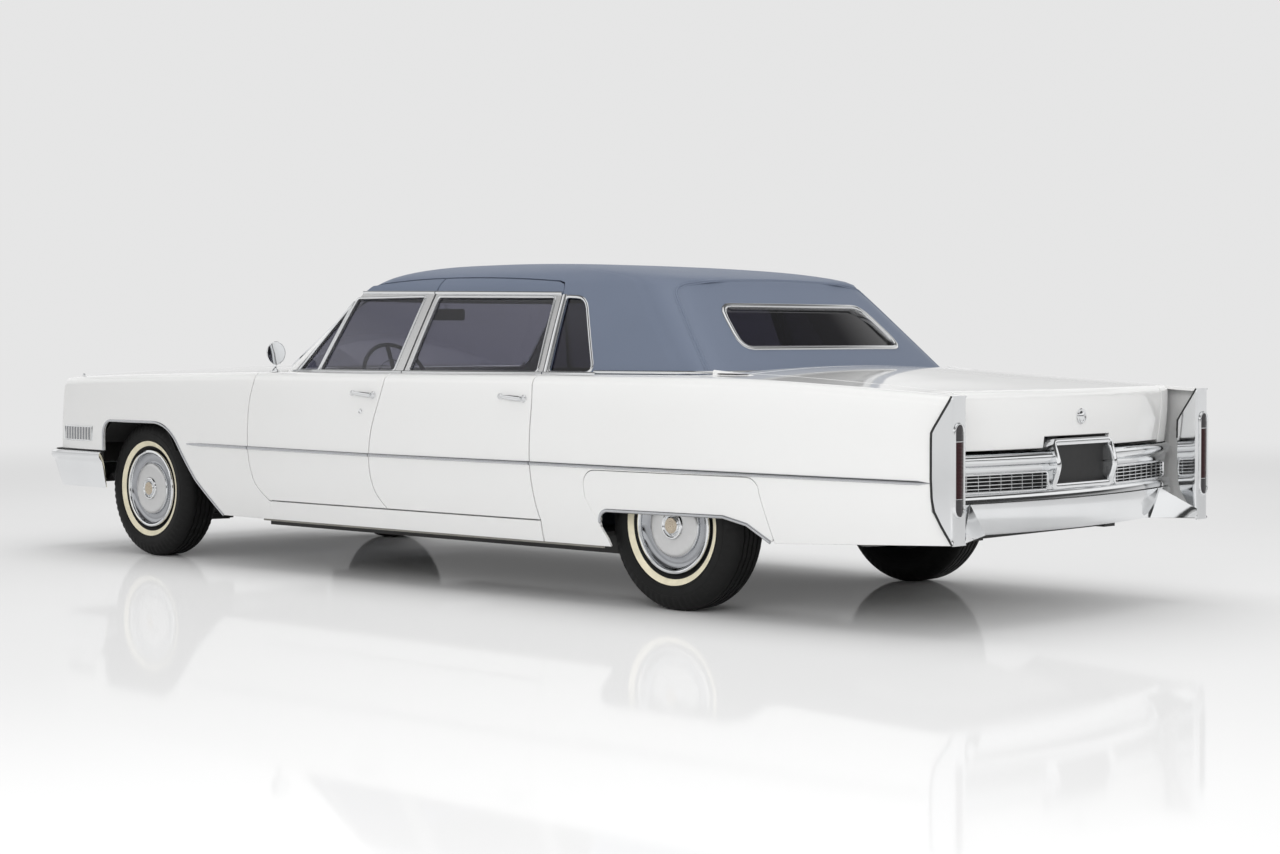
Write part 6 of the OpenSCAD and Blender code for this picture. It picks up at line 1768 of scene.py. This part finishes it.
finish(join("horn_ring", [ring, cap]), CHROME, "steering", "chrome")

# Underbody and mechanical parts: a plated fuel tank of two pressed shells with a welded seam.
# The painted frame and floor, cast axle and knuckles and enamelled engine keep their plain forms.
def worn_paint(name, dark, light, low, high, metallic=0.0, scale=12):
    return mottled(name, dark, light, low, high, scale, 6, None, metallic, (300, 2, 0.12, 0.0006))


FRAME_BLACK = worn_paint("black_frame_paint", (0.010, 0.010, 0.010), (0.026, 0.025, 0.024), 0.40, 0.62)
FLOOR_PAINT = worn_paint("grey_floor_paint", (0.045, 0.045, 0.045), (0.090, 0.088, 0.085), 0.50, 0.70)
CAST_IRON = worn_paint("cast_iron", (0.055, 0.052, 0.050), (0.110, 0.104, 0.100), 0.45, 0.65, 0.8, 30)
TANK_PLATE = worn_paint("tank_plate", (0.42, 0.42, 0.41), (0.55, 0.55, 0.54), 0.34, 0.50, 0.6, 18)
ENAMEL = worn_paint("engine_enamel", (0.030, 0.060, 0.110), (0.045, 0.085, 0.150), 0.25, 0.42)
tank_low, tank_high = np.array(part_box("fuel_tank"))
tank_mid, tank_size = (tank_low + tank_high) / 2, (tank_high - tank_low) / 2
tank_slope = 0.092
bend = np.stack(superellipse(np.linspace(0, 2 * math.pi, 64, endpoint=False), 0.32), 1)
rows = []
for v in np.sin(np.linspace(-math.pi / 2, math.pi / 2, 41)):
    end = (1 - abs(v) ** 14) ** (1 / 4)
    swage = 1 - 0.012 * (abs(math.sin(v * 9)) > 0.9)
    lift = tank_slope * (1 - bend[:, 1]) / 2 * (1 - bend[:, 0]) / 2
    tank_xs = tank_mid[0] + tank_size[0] * bend[:, 0] * (0.86 + 0.14 * end) * swage
    tank_zs = tank_mid[2] + tank_size[2] * bend[:, 1] * (0.72 + 0.28 * end) * swage + lift
    rows.append(np.column_stack([tank_xs, np.full(64, tank_mid[1] + tank_size[1] * v), tank_zs]))
tank = grid_mesh("tank_shell", rows, sharp=50)
rim = round_corners(rectangle(tank_low[0] + 0.004, tank_low[1] + 0.004, tank_high[0] - 0.004,
                              tank_high[1] - 0.004), 0.05)
rim = densify(rim, 0.03)
rim = np.column_stack([rim, np.full(len(rim), tank_mid[2] + 0.02)])
seam = sweep("seam", rim, OUT_UP, rectangle(-0.004, -0.002, 0.024, 0.002), loop=True)
finish(join("fuel_tank_shell", [tank, seam]), TANK_PLATE, "body", "chassis_steel", "fuel_tank")
for material, names in (
        (FRAME_BLACK, ("chassis_frame", "radiator_support", "front_suspension", "driveline")),
        (FLOOR_PAINT, ("floor_pan",)), (CAST_IRON, ("rear_axle", "knuckle_left", "knuckle_right")),
        (ENAMEL, ("engine",)), (CARD_CLOTH, ("centre_posts",))):
    for name in names:
        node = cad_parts[name]
        node.data.materials.clear()
        node.data.materials.append(material)

# Wheelhouses, boot trays and parcel shelf: rolled steel tubs round the wheels, in black sealer,
# welded to the inner body, painted side trays in the boot, and a cloth-covered shelf under the rear window.
def tub(name, middle_x, radius, y_in, y_out, from_deg, to_deg, side):
    """Arched sheet round a wheel, with a wall on its inner side."""
    a = np.radians(np.linspace(from_deg, to_deg, 49))
    x, z = middle_x + radius * np.cos(a), tyre_r + radius * np.sin(a)
    reach = np.minimum(y_out, side_y(x, z) - 0.022)
    out, up = np.cos(a), np.sin(a)
    x_back, z_back = x + 0.004 * out, z + 0.004 * up
    rows = np.stack([np.stack([x, np.full(49, y_in), z], 1), np.stack([x, reach, z], 1),
                     np.stack([x_back, reach, z_back], 1),
                     np.stack([x_back, np.full(49, y_in - 0.004), z_back], 1)], 1)
    arch = grid_mesh("arch", rows, side=side, sharp=30)
    foot = tyre_r + radius * math.sin(math.radians(from_deg))
    outline = np.stack([x, np.maximum(z, foot)], 1)
    wall = panel("wall", outline, flat(1, y_in), (0, 1, 0), spacing=0.03, depth=0.004, edge=0.001, side=side)
    return finish(join(name, [arch, wall]), SEALER, "body", "chassis_steel")


SEALER = worn_paint("black_sealer", (0.006, 0.006, 0.006), (0.014, 0.014, 0.014), 0.62, 0.85, 0.0, 60)
TRAY_GREY = worn_paint("grey_boot_paint", (0.30, 0.30, 0.30), (0.40, 0.40, 0.39), 0.45, 0.62, 0.0, 40)
for word, side in SIDES:
    tub(f"rear_wheelhouse_{word}", rear_axle_x, 0.405, 0.648, 0.985, 24, 156, side)
    tub(f"front_wheelhouse_{word}", front_axle_x, 0.425, 0.500, 0.985, 34, 150, side)
    xs = np.linspace(rear_axle_x - 0.375, tail_x + 0.215, 12)
    outline = [(tail_x + 0.215, boot_half - 0.104), (rear_axle_x - 0.375, boot_half - 0.104)]
    outline += [(x, float(side_y(x, 0.44)) - 0.024) for x in xs]
    tray = panel(f"boot_tray_{word}", outline, flat(2, 0.4385), OUT_UP, spacing=0.03, depth=0.008, side=side)
    finish(tray, TRAY_GREY, "body", "chassis_steel")
shelf_half = 0.700
outline = rectangle(rear_axle_x - 0.225, -shelf_half, rear_axle_x + 0.255, shelf_half)
finish(panel("parcel_shelf", outline, flat(2, 0.966), OUT_UP, spacing=0.03, depth=0.006), CARD_CLOTH, "body",
       "cabin_trim")

# Inside mirror: the slim dark shell behind the windscreen, a moulded plate with rounded corners.
# It hangs from the roof by a plated stem, whose length is found from the roof skin above.
glass_x, glass_z = front_axle_x - 1.400, 1.275
outline = round_corners(rectangle(-0.120, glass_z - 0.030, 0.120, glass_z + 0.030), 0.016)
finish(panel("inside_mirror_shell", outline, flat(0, glass_x), (-1, 0, 0), spacing=0.012, depth=0.018,
             edge=0.004), BLACK, "body", "dark_plastic")
hit = roof_tree.ray_cast(Vector((glass_x + 0.025, 0, glass_z)), Vector((0, 0, 1)))[0]
stem_top = hit.z - 0.014 if hit else glass_z + 0.09
stem = np.linspace((glass_x + 0.012, 0, glass_z), (glass_x + 0.025, 0, stem_top), 6)
plated(sweep("inside_mirror_stem", stem, (-1, 0, 0), bead(0.010, 0.005, 0.003)))

# Studio: a pale waxed floor that fades into a lit wall, four soft lamps, and the camera of the photograph.
# The plating mirrors bands of light and dark from the world, brighter ahead of the car than behind it.
camera_at = Vector((-8.1329, 7.8757, 1.1181))
camera_yaw, camera_pitch, camera_roll = map(math.radians, (-46.2638, -2.0726, -0.217))
camera_lens = 64.28
forward = Vector((math.cos(camera_pitch) * math.cos(camera_yaw),
                  math.cos(camera_pitch) * math.sin(camera_yaw), math.sin(camera_pitch)))
level_right = forward.cross(Vector((0, 0, 1))).normalized()
level_up = level_right.cross(forward)
right = level_right * math.cos(camera_roll) + level_up * math.sin(camera_roll)
up = level_up * math.cos(camera_roll) - level_right * math.sin(camera_roll)
camera = in_scene("camera", bpy.data.cameras.new("camera"))
camera.data.sensor_width = 36
camera.data.lens = camera_lens
camera.matrix_world = Matrix((
    (right.x, up.x, -forward.x, camera_at.x), (right.y, up.y, -forward.y, camera_at.y),
    (right.z, up.z, -forward.z, camera_at.z), (0, 0, 0, 1)))
bpy.context.scene.camera = camera

floor = new_mesh("floor", [(-60, -60, 0), (60, -60, 0), (60, 60, 0), (-60, 60, 0)], [(0, 1, 2, 3)])
m, nodes, links, bsdf = shader("polished_floor", (0.77, 0.77, 0.77), 0.9)
put(bsdf, {"Specular IOR Level": 0.0})
haze = noise(nodes, links, 0.5)
spread(nodes, links, haze.outputs["Fac"], (0.76, 0.76, 0.76), (0.78, 0.78, 0.78), bsdf.inputs["Base Color"])
polish = put(nodes.new("ShaderNodeBsdfGlossy"), {"Color": (1, 1, 1, 1)})
spread(nodes, links, haze.outputs["Fac"], 0.03, 0.08, polish.inputs["Roughness"])
waxed = put(nodes.new("ShaderNodeMixShader"), {"Fac": 0.15})
links.new(bsdf.outputs["BSDF"], waxed.inputs[1])
links.new(polish.outputs["BSDF"], waxed.inputs[2])
wall_light = 0.79
where = nodes.new("ShaderNodeTexCoord")
away = nodes.new("ShaderNodeVectorMath")
away.operation = "LENGTH"
links.new(where.outputs["Object"], away.inputs[0])
fade = put(nodes.new("ShaderNodeMapRange"), {"From Min": 5.0, "From Max": 17.0})
fade.interpolation_type = "SMOOTHSTEP"
links.new(away.outputs["Value"], fade.inputs["Value"])
wall = put(nodes.new("ShaderNodeEmission"), {"Color": (1, 1, 1, 1), "Strength": wall_light})
blend = nodes.new("ShaderNodeMixShader")
links.new(fade.outputs["Result"], blend.inputs["Fac"])
links.new(waxed.outputs["Shader"], blend.inputs[1])
links.new(wall.outputs["Emission"], blend.inputs[2])
links.new(blend.outputs["Shader"], nodes["Material Output"].inputs["Surface"])
floor.data.materials.append(m)

world = bpy.data.worlds.new("studio")
bpy.context.scene.world = world
world.use_nodes = True
nodes, links = world.node_tree.nodes, world.node_tree.links
background = put(nodes["Background"], {"Color": (1, 1, 1, 1)})
light_path = nodes.new("ShaderNodeLightPath")
seen = nodes.new("ShaderNodeMath")
seen.operation = "MAXIMUM"
links.new(light_path.outputs["Is Camera Ray"], seen.inputs[0])
links.new(light_path.outputs["Is Transmission Ray"], seen.inputs[1])
where = nodes.new("ShaderNodeTexCoord")
split = nodes.new("ShaderNodeSeparateXYZ")
links.new(where.outputs["Generated"], split.inputs["Vector"])


def mirrored_walls(steps):
    """Bands of light for the plating to mirror; the columns are the sine of the height and the level."""
    bands = nodes.new("ShaderNodeValToRGB")
    links.new(split.outputs["Z"], bands.inputs["Fac"])
    marks = bands.color_ramp.elements
    marks[0].position, marks[1].position = steps[0][0], steps[-1][0]
    for place, _ in steps[1:-1]:
        marks.new(place)
    for mark, (_, value) in zip(marks, steps):
        mark.color = (value, value, value, 1)
    return bands


ahead = mirrored_walls(((0.0, 0.75), (0.05, 0.72), (0.08, 0.62), (0.14, 0.62), (0.18, 0.92), (0.43, 0.95),
                        (0.47, 0.50), (0.54, 0.85), (0.60, 0.16), (0.86, 0.12), (0.92, 0.90), (1.0, 0.95)))
behind = mirrored_walls(((0.0, 0.50), (0.04, 0.40), (0.06, 0.05), (0.14, 0.04), (0.17, 0.95), (0.38, 1.0),
                         (0.42, 0.07), (0.60, 0.05), (0.66, 0.80), (1.0, 0.9)))
facing = put(nodes.new("ShaderNodeMapRange"), {"From Min": -0.05, "From Max": -0.45})
links.new(split.outputs["X"], facing.inputs["Value"])
walls = nodes.new("ShaderNodeMix")
walls.data_type = "RGBA"
links.new(facing.outputs["Result"], walls.inputs[0])
links.new(ahead.outputs["Color"], walls.inputs[6])
links.new(behind.outputs["Color"], walls.inputs[7])
mirrored = put(nodes.new("ShaderNodeMix"), {"A": 0.74})
links.new(light_path.outputs["Is Glossy Ray"], mirrored.inputs["Factor"])
links.new(walls.outputs[2], mirrored.inputs["B"])
strength = put(nodes.new("ShaderNodeMix"), {"B": wall_light})
links.new(seen.outputs["Value"], strength.inputs["Factor"])
links.new(mirrored.outputs["Result"], strength.inputs["A"])
links.new(strength.outputs["Result"], background.inputs["Strength"])
# Columns: name, place, aim, size, power
for name, place, aim, size, power in (
        ("overhead", (0, 0, 6.5), (0, 0, 0), (9, 5), 190),
        ("near_side", (-6, 7, 3.4), (0, 0, 0.6), (6, 4), 222),
        ("far_side", (5, -7, 5), (0, 0, 0.6), (6, 4), 120),
        ("tail_side", (-8.5, -1, 3.5), (-3, 0, 0.7), (5, 3), 45)):
    lamp = in_scene(name, bpy.data.lights.new(name, "AREA"))
    lamp.data.shape = "RECTANGLE"
    lamp.data.size, lamp.data.size_y = size
    lamp.data.energy = power
    lamp.visible_glossy = False
    lamp.location = place
    lamp.rotation_euler = (Vector(aim) - Vector(place)).to_track_quat("-Z", "Y").to_euler()

bpy.context.scene.view_settings.view_transform = "Standard"
